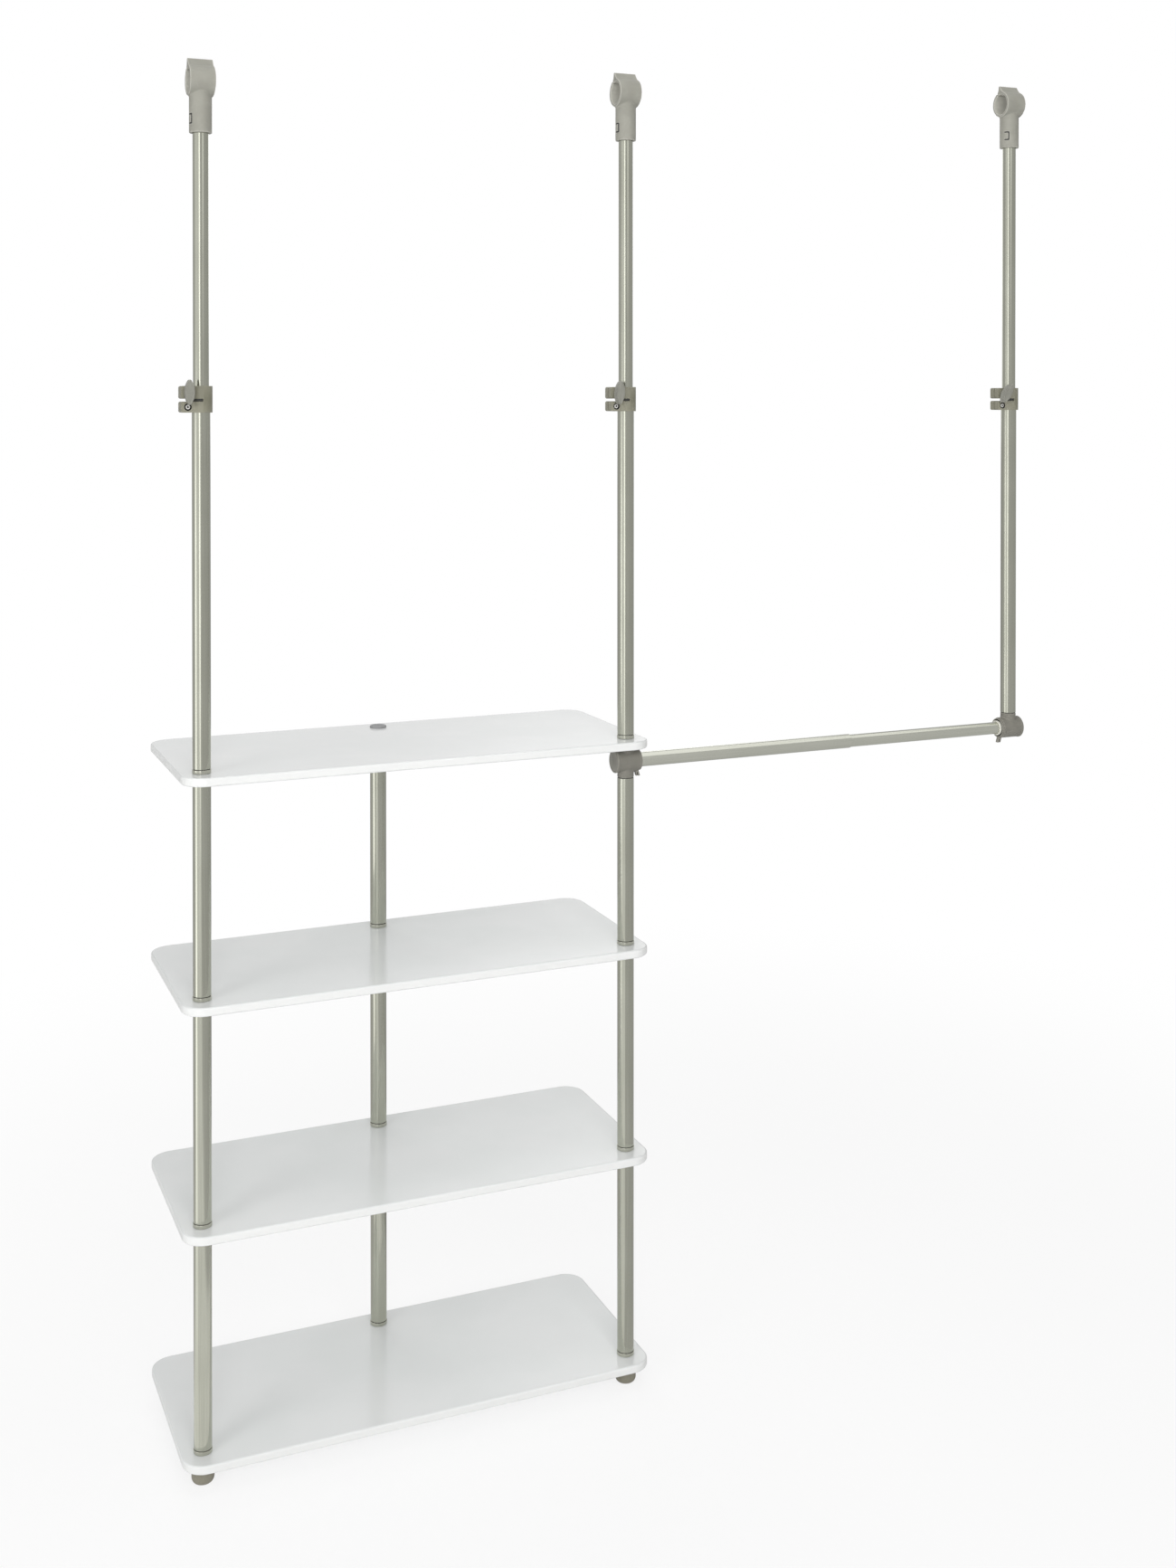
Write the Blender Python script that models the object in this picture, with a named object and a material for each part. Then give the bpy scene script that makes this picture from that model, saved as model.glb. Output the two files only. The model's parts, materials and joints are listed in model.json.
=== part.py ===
"""Closet organizer: a four-shelf tower on three posts, whose front posts carry on upwards in telescoping
tubes to clips for a closet rod, and a telescoping hang rod that ends in a third, hanging tube."""
import math

import bmesh
import bpy
from mathutils import Matrix, Vector

# Sizes in metres. The origin is under the left foot, +X runs along the hang rod, +Y to the rear, +Z up.

# Fits
seat_gap = 0.0003              # between pieces that touch, and round a piece in its socket
riser_clearance = 0.0007       # round an inner tube inside its outer tube
rod_clearance = 0.0003         # round the thin hang rod inside the thick one

# Shelves
shelf_length = 0.711
shelf_depth = 0.309
shelf_thick = 0.0127
shelf_pitch = 0.3175           # from one shelf's top to the next one's
shelf_corner = 0.032
shelf_edge = 0.003             # rounding along the rims
post_side_inset = 0.0305       # front posts, from the shelf's ends
post_front_inset = 0.038       # front posts, from the shelf's front edge
rear_post_inset = 0.034        # rear post, from the shelf's back edge

# Tubes
post_radius = 0.0127
post_wall = 0.0010
riser_wall = 0.0009
upper_tube_length = 0.516      # outer tubes above the top shelf
riser_length = 0.520
rod_radius = 0.0111
rod_wall = 0.0009

# Joiners, inserts and cap
ring_height = 0.006
ring_overhang = 0.0005         # ferrule ring beyond the tube
spigot_length = 0.020
stud_radius = 0.005
stud_reach = 0.016             # below the shelf that it passes through
insert_length = 0.022
cap_radius = 0.013
cap_height = 0.003
cap_edge = 0.0012

# Feet
foot_height = 0.028
foot_radius = 0.016
foot_top_radius = 0.0135
foot_sole_radius = 0.0105
foot_bowl_height = 0.008       # rounded stretch above the sole
foot_shoulder = 0.006

# Tee and elbow of the hang rod
barrel_wall = 0.0057
barrel_closed_reach = 0.0205   # from the pole's axis to the closed end
barrel_mouth_reach = 0.0220    # from the pole's axis to the open end
barrel_edge = 0.0015
rim_height = 0.0006            # round the closed end
rim_length = 0.0035
mouth_step = 0.0012
mouth_step_length = 0.003
barrel_rise = 0.0050           # neck between the tee's barrel and the shelf
neck_length = 0.0084
socket_floor_wall = 0.0015     # between the stud's hole and the rod's socket
tab_width = 0.006
tab_length = 0.0065
tab_drop = 0.0075
tab_slant = 0.003
tab_from_mouth = 0.0015
bush_flange = 0.0012
bush_flange_length = 0.0028

# Hang rod, in the pose of the photograph
rod_span = 0.713               # from the middle pole to the right pole
thick_rod_reach = 0.399        # thick rod's end, from the middle pole
rod_overlap = 0.078            # thin rod inside the thick one

# Collars, knobs and screws
collar_wall = 0.0028
collar_edge = 0.0006
upper_ear_height = 0.0177
lower_ear_height = 0.0153
ear_slot = 0.0040
ear_length = 0.0137            # beyond the collar's barrel
ear_half_width = 0.011
ear_corner = 0.0025
ear_slit = 0.0018
ear_back_wall = 0.003          # left behind the screw holes
screw_offset = 0.0042          # screw axes, beyond the collar's barrel
knob_length = 0.035
knob_width = 0.0125
knob_depth = 0.012
knob_edge = 0.001
knob_clearance = 0.0006        # knob's leaf in front of the collar's barrel
knob_boss_radius = 0.0045
knob_shaft_radius = 0.0024
screw_head_radius = 0.0038
screw_head_height = 0.004
screw_head_clearance = 0.0015
screw_head_sink = 0.0010
screw_shaft_radius = 0.002
screw_socket_radius = 0.0022
screw_socket_depth = 0.0024

# Clips, in the pose of the photograph
clip_bore_radius = 0.017
clip_wall = 0.0045
clip_length = 0.0355
clip_stem = 0.0515             # from the socket's mouth to the underside of the ring
clip_socket_wall = 0.00445
clip_socket_depth = 0.030
lip_height = 0.0095            # above the ring
lip_thickness = 0.003
lip_setback = 0.0025           # tip's front face, behind the pole's axis
lip_root_angle = math.radians(25)     # in front of the top
mouth_front_angle = math.radians(26)  # behind the top
mouth_back_angle = math.radians(31)   # behind the top
drawn_out = {"left": 0.352, "middle": 0.378, "right": 0.406}
knob_turn = {"left": 0.0, "middle": math.radians(4), "right": math.radians(30)}

# Facets
tube_sides = 24
small_sides = 16
bore_sides = 36
corner_steps = 5
edge_steps = 2
bowl_steps = 3
leaf_steps = 6
clip_steps = 20
overcut = 0.002                # how far a cutter runs past a face

# Derived sizes
post_bore = post_radius - post_wall
riser_radius = post_bore - riser_clearance
thin_rod_radius = rod_radius - rod_wall - rod_clearance
spigot_radius = post_bore - seat_gap
stud_hole_radius = stud_radius + seat_gap
barrel_radius = rod_radius + seat_gap + barrel_wall
neck_reach = barrel_radius + neck_length
rod_drop = barrel_radius + barrel_rise
rod_socket_radius = rod_radius + seat_gap
rod_socket_floor = stud_hole_radius + socket_floor_wall
collar_radius = post_radius + seat_gap + collar_wall
collar_height = lower_ear_height + ear_slot + upper_ear_height
screw_axis = collar_radius + screw_offset
ear_reach = collar_radius + ear_length
clip_ring_radius = clip_bore_radius + clip_wall
clip_socket_radius = riser_radius + seat_gap + clip_socket_wall
clip_bore_height = clip_stem + clip_ring_radius

# Places
pole_span = shelf_length - 2 * post_side_inset
poles = {
    "left": Vector((0, 0, 0)),
    "middle": Vector((pole_span, 0, 0)),
    "rear": Vector((pole_span / 2, shelf_depth - post_front_inset - rear_post_inset, 0)),
    "right": Vector((pole_span + rod_span, 0, 0)),
}
shelf_names = ["shelf_bottom", "shelf_lower", "shelf_upper", "shelf_top"]
first_underside = foot_height + seat_gap
undersides = [first_underside + level * shelf_pitch for level in range(len(shelf_names))]
shelf_tops = [underside + shelf_thick for underside in undersides]
rod_height = undersides[-1] - rod_drop
tube_lift = seat_gap + ring_height + seat_gap       # tube's lower end above its shelf
collar_shoulder = shelf_tops[-1] + tube_lift + upper_tube_length + seat_gap
collar_bottom = collar_shoulder - ear_slot - lower_ear_height
collar_top = collar_bottom + collar_height


def make_material(name, colour, roughness, metallic):
    material = bpy.data.materials.new(name)
    material.use_nodes = True
    shader = material.node_tree.nodes["Principled BSDF"]
    shader.inputs["Base Color"].default_value = (*colour, 1)
    shader.inputs["Roughness"].default_value = roughness
    shader.inputs["Metallic"].default_value = metallic
    material.diffuse_color = (*colour, 1)
    return material


def clear_scene():
    for old in list(bpy.data.objects):
        bpy.data.objects.remove(old, do_unlink=True)


def finish_mesh(bm, name):
    """Close a bmesh into a smooth-shaded mesh with its faces pointing out."""
    bmesh.ops.remove_doubles(bm, verts=bm.verts, dist=1e-6)
    bmesh.ops.recalc_face_normals(bm, faces=bm.faces)
    mesh = bpy.data.meshes.new(name)
    bm.to_mesh(mesh)
    bm.free()
    mesh.shade_smooth()
    mesh.set_sharp_from_angle(angle=math.radians(35))
    return mesh


def add_object(name, mesh, place, parent):
    """Link an object at a place in the world, hung on a pivot if it has one."""
    thing = bpy.data.objects.new(name, mesh)
    bpy.context.scene.collection.objects.link(thing)
    thing.location = place
    thing.parent = parent
    while parent is not None:
        thing.location -= parent.location
        parent = parent.parent
    return thing


def add_piece(name, bm, material, place, parent=None):
    """Put a shape into the scene as one named piece, at a place in the world."""
    piece = add_object(name, finish_mesh(bm, name), place, parent)
    piece.data.materials.append(material)
    return piece


def add_pivot(name, place, parent=None):
    """An empty on a joint's axis, which the moving pieces hang on."""
    return add_object(name, None, place, parent)


def combine(piece, label, operation, bm):
    """Join a shape to a piece, or cut it away, in the piece's own frame."""
    tool = bpy.data.objects.new(f"{piece.name}_{label}", finish_mesh(bm, label))
    bpy.context.scene.collection.objects.link(tool)
    tool.parent = piece
    tool.hide_render = True
    tool.display_type = "WIRE"
    step = piece.modifiers.new(label, "BOOLEAN")
    step.operation = operation
    step.solver = "EXACT"
    step.object = tool


def turned(profile, sides, ring=False):
    """Turn (radius, height) points about Z. A ring's profile closes on itself, any other ends on the axis."""
    bm = bmesh.new()
    verts = [bm.verts.new((radius, 0, height)) for radius, height in profile]
    ends = verts[1:] + verts[:1] if ring else verts[1:]
    edges = [bm.edges.new(pair) for pair in zip(verts, ends)]
    bmesh.ops.spin(bm, geom=verts + edges, cent=(0, 0, 0), axis=(0, 0, 1),
                   angle=math.tau, steps=sides, use_merge=True)
    return bm


def aim(bm, axis):
    """Turn a shape made along +Z so that it runs along +X or -X, or towards the front (-Y)."""
    turns = {
        "+X": Matrix.Rotation(math.pi / 2, 3, "Y"),
        "-X": Matrix.Rotation(-math.pi / 2, 3, "Y"),
        "front": Matrix.Rotation(math.pi / 2, 3, "X"),
    }
    bmesh.ops.rotate(bm, verts=bm.verts, cent=(0, 0, 0), matrix=turns[axis])
    return bm


def tube(radius, bore, low, high, sides=tube_sides):
    return turned([(radius, low), (radius, high), (bore, high), (bore, low)], sides, ring=True)


def cylinder(radius, low, high, sides=small_sides):
    return turned([(0, low), (radius, low), (radius, high), (0, high)], sides)


def block(low, high):
    """Box between two corners."""
    bm = bmesh.new()
    middle = (Vector(low) + Vector(high)) / 2
    size = Vector(high) - Vector(low)
    bmesh.ops.create_cube(bm, size=1, matrix=Matrix.Translation(middle) @ Matrix.Diagonal((*size, 1)))
    return bm


def prism(outline, push):
    """Extrude a closed outline of 3-D points by a vector."""
    bm = bmesh.new()
    face = bm.faces.new([bm.verts.new(point) for point in outline])
    pushed = bmesh.ops.extrude_face_region(bm, geom=[face])
    moved = [item for item in pushed["geom"] if isinstance(item, bmesh.types.BMVert)]
    bmesh.ops.translate(bm, verts=moved, vec=push)
    return bm


def arc(radius, start, stop, steps):
    """Points (across, up) round a circle, with angles counted from the top."""
    angles = [start + (stop - start) * step / steps for step in range(steps + 1)]
    return [(radius * math.sin(angle), radius * math.cos(angle)) for angle in angles]


def make_shelf(name, underside):
    """Board with rounded corners and rims, and three stud holes."""
    reach = Vector((shelf_length / 2 - shelf_corner, shelf_depth / 2 - shelf_corner, 0))
    outline = []
    for quarter, (side_x, side_y) in enumerate(((1, 1), (1, -1), (-1, -1), (-1, 1))):
        start = quarter * math.pi / 2
        for across, up in arc(shelf_corner, start, start + math.pi / 2, corner_steps):
            outline.append((side_x * reach.x + across, side_y * reach.y + up, 0))
    bm = prism(outline, (0, 0, shelf_thick))
    rims = [edge for edge in bm.edges if abs(edge.verts[0].co.z - edge.verts[1].co.z) < shelf_thick / 2]
    bmesh.ops.bevel(bm, geom=rims, offset=shelf_edge, segments=edge_steps, affect="EDGES", profile=0.5)
    middle = Vector((pole_span / 2, shelf_depth / 2 - post_front_inset, underside))
    shelf = add_piece(name, bm, melamine, middle)
    for pole in ("left", "middle", "rear"):
        hole = cylinder(stud_hole_radius, -overcut, shelf_thick + overcut)
        at = poles[pole] - middle
        bmesh.ops.translate(hole, verts=hole.verts, vec=(at.x, at.y, 0))
        combine(shelf, f"{pole}_hole", "DIFFERENCE", hole)


def make_joiner(name, pole, level):
    """Ferrule ring on a shelf, with a spigot for the tube above and a stud through the shelf."""
    ring_radius = post_radius + ring_overhang
    spigot_top = tube_lift + spigot_length
    ring_top = seat_gap + ring_height
    profile = [(0, -shelf_thick - stud_reach), (stud_radius, -shelf_thick - stud_reach), (stud_radius, seat_gap),
               (ring_radius, seat_gap), (ring_radius, ring_top), (spigot_radius, ring_top),
               (spigot_radius, spigot_top), (0, spigot_top)]
    add_piece(name, turned(profile, small_sides), ferrule, pole + Vector((0, 0, shelf_tops[level])))


def make_post(name, pole, level, top):
    """Tube from a shelf's joiner up to a height."""
    bottom = shelf_tops[level] + tube_lift
    add_piece(name, tube(post_radius, post_bore, 0, top - bottom), nickel, pole + Vector((0, 0, bottom)))


def make_insert(name, pole, top):
    """Threaded plug in the top of a post tube."""
    sleeve = tube(spigot_radius, stud_hole_radius, -insert_length, 0, small_sides)
    add_piece(name, sleeve, dark_plastic, pole + Vector((0, 0, top)))


def make_foot(name, pole):
    """Turned foot, rounded like a bowl above its sole, with a blind hole for the stud."""
    hole_floor = foot_height - stud_reach - 2 * seat_gap
    bowl_width = foot_radius - foot_sole_radius
    bowl = [(foot_sole_radius + bowl_width * across, foot_bowl_height * (1 + up))
            for across, up in arc(1, math.pi, math.pi / 2, bowl_steps)]
    profile = [(0, 0), *bowl, (foot_radius, foot_height - foot_shoulder), (foot_top_radius, foot_height),
               (stud_hole_radius, foot_height), (stud_hole_radius, hole_floor), (0, hole_floor)]
    add_piece(name, turned(profile, tube_sides), foot_plastic, pole)


def make_cap(name, pole):
    """Low round cap that ends the rear post on the top shelf."""
    stud_end = -shelf_thick - stud_reach
    top = seat_gap + cap_height
    profile = [(0, stud_end), (stud_radius, stud_end), (stud_radius, seat_gap), (cap_radius, seat_gap),
               (cap_radius, top - cap_edge), (cap_radius - cap_edge, top), (0, top)]
    add_piece(name, turned(profile, tube_sides), ferrule, pole + Vector((0, 0, shelf_tops[-1])))


def make_rod_fitting(name, pole, mouth, neck, seat, parent=None):
    """Barrel that holds a hang rod, on a neck with a spigot. mouth and neck are +1 or -1 along X and Z."""
    spigot_end = neck_reach + spigot_length
    stem = [(0, -seat), (post_radius, -seat), (post_radius, neck_reach), (spigot_radius, neck_reach),
            (spigot_radius, spigot_end), (0, spigot_end)]
    stem = [(radius, neck * height) for radius, height in stem]
    fitting = add_piece(name, turned(stem, tube_sides), grey_plastic, pole + Vector((0, 0, rod_height)), parent)

    rim_radius = barrel_radius + rim_height
    rim_end = rim_length - barrel_closed_reach
    step_start = barrel_mouth_reach - mouth_step_length
    barrel = [(0, -barrel_closed_reach), (rim_radius - barrel_edge, -barrel_closed_reach),
              (rim_radius, -barrel_closed_reach + barrel_edge), (rim_radius, rim_end), (barrel_radius, rim_end),
              (barrel_radius, step_start), (barrel_radius - mouth_step, step_start),
              (barrel_radius - mouth_step, barrel_mouth_reach), (0, barrel_mouth_reach)]
    axis = "+X" if mouth > 0 else "-X"
    combine(fitting, "barrel", "UNION", aim(turned(barrel, tube_sides), axis))

    tab_start = barrel_mouth_reach - tab_from_mouth - tab_length
    tab_end = -barrel_radius - tab_drop
    tab_corners = [(tab_start, -barrel_radius + barrel_wall / 2),
                   (tab_start + tab_length, -barrel_radius + barrel_wall / 2),
                   (tab_start + tab_length + tab_slant, tab_end), (tab_start + tab_slant, tab_end)]
    outline = [(mouth * along, -tab_width / 2, up) for along, up in tab_corners]
    combine(fitting, "tab", "UNION", prism(outline, (0, tab_width, 0)))

    socket = cylinder(rod_socket_radius, rod_socket_floor, barrel_mouth_reach + overcut, tube_sides)
    combine(fitting, "socket", "DIFFERENCE", aim(socket, axis))
    return fitting


def make_tee():
    tee = make_rod_fitting("rod_tee", poles["middle"], 1, -1, rod_drop - seat_gap)
    stud_hole = cylinder(stud_hole_radius, rod_drop - stud_reach - seat_gap, rod_drop + overcut)
    combine(tee, "stud_hole", "DIFFERENCE", stud_hole)


def make_hang_rod(drop):
    """Thick rod in the tee, thin rod that slides into it, and the bush that seats it in the elbow."""
    start = rod_socket_floor + seat_gap
    rod_place = poles["middle"] + Vector((0, 0, rod_height))
    thick = tube(rod_radius, rod_radius - rod_wall, start, thick_rod_reach)
    add_piece("hang_rod_outer", aim(thick, "+X"), nickel, rod_place)

    elbow_place = poles["right"] + Vector((0, 0, rod_height))
    thin_end = rod_span - thick_rod_reach + rod_overlap
    thin = tube(thin_rod_radius, thin_rod_radius - rod_wall, start, thin_end)
    add_piece("hang_rod_inner", aim(thin, "-X"), nickel, elbow_place, drop)

    bush_bore = thin_rod_radius + seat_gap
    flange_start = barrel_mouth_reach + seat_gap
    sleeve = [(bush_bore, start), (rod_radius, start), (rod_radius, flange_start),
              (rod_radius + bush_flange, flange_start),
              (rod_radius + bush_flange, flange_start + bush_flange_length),
              (bush_bore, flange_start + bush_flange_length)]
    add_piece("rod_bush", aim(turned(sleeve, tube_sides, ring=True), "-X"), pale_plastic, elbow_place, drop)


def ear_block(low, high):
    """One clamp ear with its two outer corners rounded."""
    bm = block((-ear_reach, -ear_half_width, low), (0, ear_half_width, high))
    outer = [edge for edge in bm.edges
             if all(vert.co.x < -ear_reach / 2 for vert in edge.verts)
             and abs(edge.verts[0].co.y - edge.verts[1].co.y) > ear_half_width]
    bmesh.ops.bevel(bm, geom=outer, offset=ear_corner, segments=2, affect="EDGES", profile=0.5)
    return bm


def screw_hole(profile, height):
    """Cutter along Y through the ears, from the front, at a height on the collar."""
    bm = aim(turned(profile, small_sides), "front")
    bmesh.ops.translate(bm, verts=bm.verts, vec=(-screw_axis, 0, height))
    return bm


def make_collar(side, parent=None):
    """Split collar over the end of the outer tube: lower ear on the outer tube, upper ear on the inner."""
    body = [(0, 0), (collar_radius - collar_edge, 0), (collar_radius, collar_edge),
            (collar_radius, collar_height - collar_edge), (collar_radius - collar_edge, collar_height),
            (0, collar_height)]
    place = poles[side] + Vector((0, 0, collar_bottom))
    collar = add_piece(f"{side}_collar", turned(body, tube_sides), grey_plastic, place, parent)
    shoulder = lower_ear_height + ear_slot
    combine(collar, "lower_ear", "UNION", ear_block(0, lower_ear_height))
    combine(collar, "upper_ear", "UNION", ear_block(shoulder, collar_height))

    post_fit = post_radius + seat_gap
    riser_fit = riser_radius + seat_gap
    bore = [(0, -overcut), (post_fit, -overcut), (post_fit, shoulder), (riser_fit, shoulder),
            (riser_fit, collar_height + overcut), (0, collar_height + overcut)]
    combine(collar, "bore", "DIFFERENCE", turned(bore, tube_sides))
    past_ear = ear_reach + overcut
    past_wall = collar_radius + ear_half_width
    slot = block((-past_ear, -past_wall, lower_ear_height), (0, past_wall, shoulder))
    combine(collar, "slot", "DIFFERENCE", slot)
    slit = block((-past_ear, -ear_slit / 2, -overcut), (-riser_radius / 2, ear_slit / 2, collar_height + overcut))
    combine(collar, "slit", "DIFFERENCE", slit)

    back = ear_back_wall - ear_half_width
    front = ear_half_width + overcut
    knob_fit = knob_shaft_radius + seat_gap
    knob_hole = [(0, back), (knob_fit, back), (knob_fit, front), (0, front)]
    combine(collar, "knob_hole", "DIFFERENCE", screw_hole(knob_hole, collar_height - upper_ear_height / 2))
    shaft_fit = screw_shaft_radius + seat_gap
    head_fit = screw_head_radius + screw_head_clearance
    head_floor = ear_half_width - screw_head_height - screw_head_sink - seat_gap
    head_hole = [(0, back), (shaft_fit, back), (shaft_fit, head_floor), (head_fit, head_floor),
                 (head_fit, front), (0, front)]
    combine(collar, "head_hole", "DIFFERENCE", screw_hole(head_hole, lower_ear_height / 2))


def make_clamp_screw(side, parent=None):
    """Socket-head screw that closes the lower ear."""
    head_top = ear_half_width - screw_head_sink
    head_floor = head_top - screw_head_height
    back = ear_back_wall - ear_half_width + seat_gap
    profile = [(0, back), (screw_shaft_radius, back), (screw_shaft_radius, head_floor),
               (screw_head_radius, head_floor), (screw_head_radius, head_top), (0, head_top)]
    place = poles[side] + Vector((-screw_axis, 0, collar_bottom + lower_ear_height / 2))
    screw = add_piece(f"{side}_clamp_screw", aim(turned(profile, small_sides), "front"), zinc, place, parent)
    key_socket = cylinder(screw_socket_radius, head_top - screw_socket_depth, head_top + overcut, 6)
    combine(screw, "key_socket", "DIFFERENCE", aim(key_socket, "front"))


def leaf_outline(length, width, depth):
    """Two equal arcs that meet in a point at the top and the bottom, at a depth in front of the axis."""
    half, bulge = length / 2, width / 2
    radius = (half ** 2 + bulge ** 2) / (2 * bulge)
    sweep = math.asin(half / radius)
    side = [(up - (radius - bulge), across) for across, up in arc(radius, -sweep, sweep, leaf_steps)]
    other = [(-across, -up) for across, up in side]
    return [(across, -depth, up) for across, up in side[:-1] + other[:-1]]


def make_knob(side, parent=None):
    """Leaf-shaped wing knob with its screw through the upper ear. Its origin is on the screw's axis."""
    leaf_back = collar_radius + knob_clearance
    leaf_front = leaf_back + knob_depth
    bm = prism(leaf_outline(knob_length, knob_width, leaf_back), (0, -knob_depth, 0))
    rim = [edge for edge in bm.edges if all(vert.co.y < -(leaf_back + leaf_front) / 2 for vert in edge.verts)]
    bmesh.ops.bevel(bm, geom=rim, offset=knob_edge, segments=1, affect="EDGES", profile=0.5)
    place = poles[side] + Vector((-screw_axis, 0, collar_top - upper_ear_height / 2))
    knob = add_piece(f"{side}_knob", bm, pale_plastic, place, parent)
    knob.rotation_euler = (0, knob_turn[side], 0)
    back = ear_back_wall - ear_half_width + seat_gap
    boss_start = ear_half_width + seat_gap
    screw = [(0, back), (knob_shaft_radius, back), (knob_shaft_radius, boss_start),
             (knob_boss_radius, boss_start), (knob_boss_radius, leaf_back + knob_depth / 2),
             (0, leaf_back + knob_depth / 2)]
    combine(knob, "screw", "UNION", aim(turned(screw, small_sides), "front"))


def make_riser(side, pivot):
    """Inner tube with the clip's socket on its top."""
    socket_mouth = collar_top + drawn_out[side]
    tube_top = socket_mouth + clip_socket_depth - seat_gap
    inner = tube(riser_radius, riser_radius - riser_wall, -riser_length, 0)
    add_piece(f"{side}_inner_tube", inner, nickel, poles[side] + Vector((0, 0, tube_top)), pivot)
    make_clip(side, socket_mouth, pivot)


def make_clip(side, socket_mouth, pivot):
    """Split ring that springs on to the closet rod: slit behind its lip, on a round socket."""
    tip = clip_ring_radius + lip_height
    root_across = -clip_ring_radius * math.sin(lip_root_angle)
    root_up = clip_ring_radius * math.cos(lip_root_angle)
    hollow = (root_across / 2, (root_up + tip) / 2 - lip_thickness)
    back_root = (clip_ring_radius * math.sin(mouth_front_angle), clip_ring_radius * math.cos(mouth_front_angle))
    throat = clip_bore_radius / 2      # the mouth's two faces run inside the bore, which is cut last
    profile = arc(clip_ring_radius, mouth_back_angle, math.tau - lip_root_angle, clip_steps)
    profile += [hollow, (lip_setback, tip), (lip_setback + lip_thickness, tip), back_root]
    profile += arc(throat, mouth_front_angle, mouth_back_angle, 1)
    outline = [(-clip_length / 2, across, clip_bore_height + up) for across, up in profile]
    place = poles[side] + Vector((0, 0, socket_mouth))
    clip = add_piece(f"{side}_rod_clip", prism(outline, (clip_length, 0, 0)), pale_plastic, place, pivot)

    stem_top = clip_bore_height - clip_bore_radius / 2
    combine(clip, "stem", "UNION", cylinder(clip_socket_radius, 0, stem_top, tube_sides))
    bore = cylinder(clip_bore_radius, -clip_length, clip_length, bore_sides)
    aim(bore, "+X")
    bmesh.ops.translate(bore, verts=bore.verts, vec=(0, 0, clip_bore_height))
    combine(clip, "rod_bore", "DIFFERENCE", bore)
    socket = cylinder(riser_radius + seat_gap, -overcut, clip_socket_depth, tube_sides)
    combine(clip, "socket", "DIFFERENCE", socket)


def make_tower():
    """Shelves, posts, joiners and feet."""
    for name, underside in zip(shelf_names, undersides):
        make_shelf(name, underside)
    for side in ("left", "middle", "rear"):
        pole = poles[side]
        make_foot(f"{side}_foot", pole)
        for level in range(len(shelf_names) - 1):
            make_joiner(f"{side}_joiner_{level + 1}", pole, level)
            under_tee = side == "middle" and level == len(shelf_names) - 2
            top = rod_height - neck_reach - seat_gap if under_tee else undersides[level + 1] - seat_gap
            make_post(f"{side}_post_{level + 1}", pole, level, top)
            if not under_tee:
                make_insert(f"{side}_insert_{level + 1}", pole, top)
    make_cap("rear_cap", poles["rear"])
    for side in ("left", "middle"):
        make_joiner(f"{side}_joiner_{len(shelf_names)}", poles[side], len(shelf_names) - 1)
        make_post(f"{side}_upper_tube", poles[side], len(shelf_names) - 1, collar_shoulder - seat_gap)
    make_tee()


def make_right_drop(drop):
    """Elbow and outer tube that hang at the end of the hang rod."""
    make_rod_fitting("rod_elbow", poles["right"], -1, 1, 0, drop)
    bottom = rod_height + neck_reach + seat_gap
    upper = tube(post_radius, post_bore, 0, collar_shoulder - seat_gap - bottom)
    add_piece("right_upper_tube", upper, nickel, poles["right"] + Vector((0, 0, bottom)), drop)


clear_scene()
melamine = make_material("white_melamine", (0.80, 0.81, 0.80), 0.35, 0.0)
nickel = make_material("satin_nickel", (0.56, 0.56, 0.50), 0.32, 1.0)
ferrule = make_material("ferrule_grey", (0.42, 0.42, 0.37), 0.40, 0.3)
pale_plastic = make_material("pale_grey_plastic", (0.40, 0.39, 0.36), 0.50, 0.0)
grey_plastic = make_material("warm_grey_plastic", (0.24, 0.225, 0.195), 0.50, 0.0)
foot_plastic = make_material("foot_grey_plastic", (0.16, 0.145, 0.12), 0.55, 0.0)
dark_plastic = make_material("dark_plastic", (0.05, 0.05, 0.05), 0.60, 0.0)
zinc = make_material("zinc_steel", (0.60, 0.60, 0.58), 0.30, 1.0)

right_drop = add_pivot("right_drop", poles["right"] + Vector((0, 0, rod_height)))
make_tower()
make_hang_rod(right_drop)
make_right_drop(right_drop)
for pole_side in ("left", "middle", "right"):
    carrier = right_drop if pole_side == "right" else None
    make_collar(pole_side, carrier)
    make_clamp_screw(pole_side, carrier)
    make_knob(pole_side, carrier)
    riser_place = poles[pole_side] + Vector((0, 0, collar_top))
    make_riser(pole_side, add_pivot(f"{pole_side}_riser", riser_place, carrier))
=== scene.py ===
import json
import math

import bmesh
import bpy
from mathutils import Matrix, Vector

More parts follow.
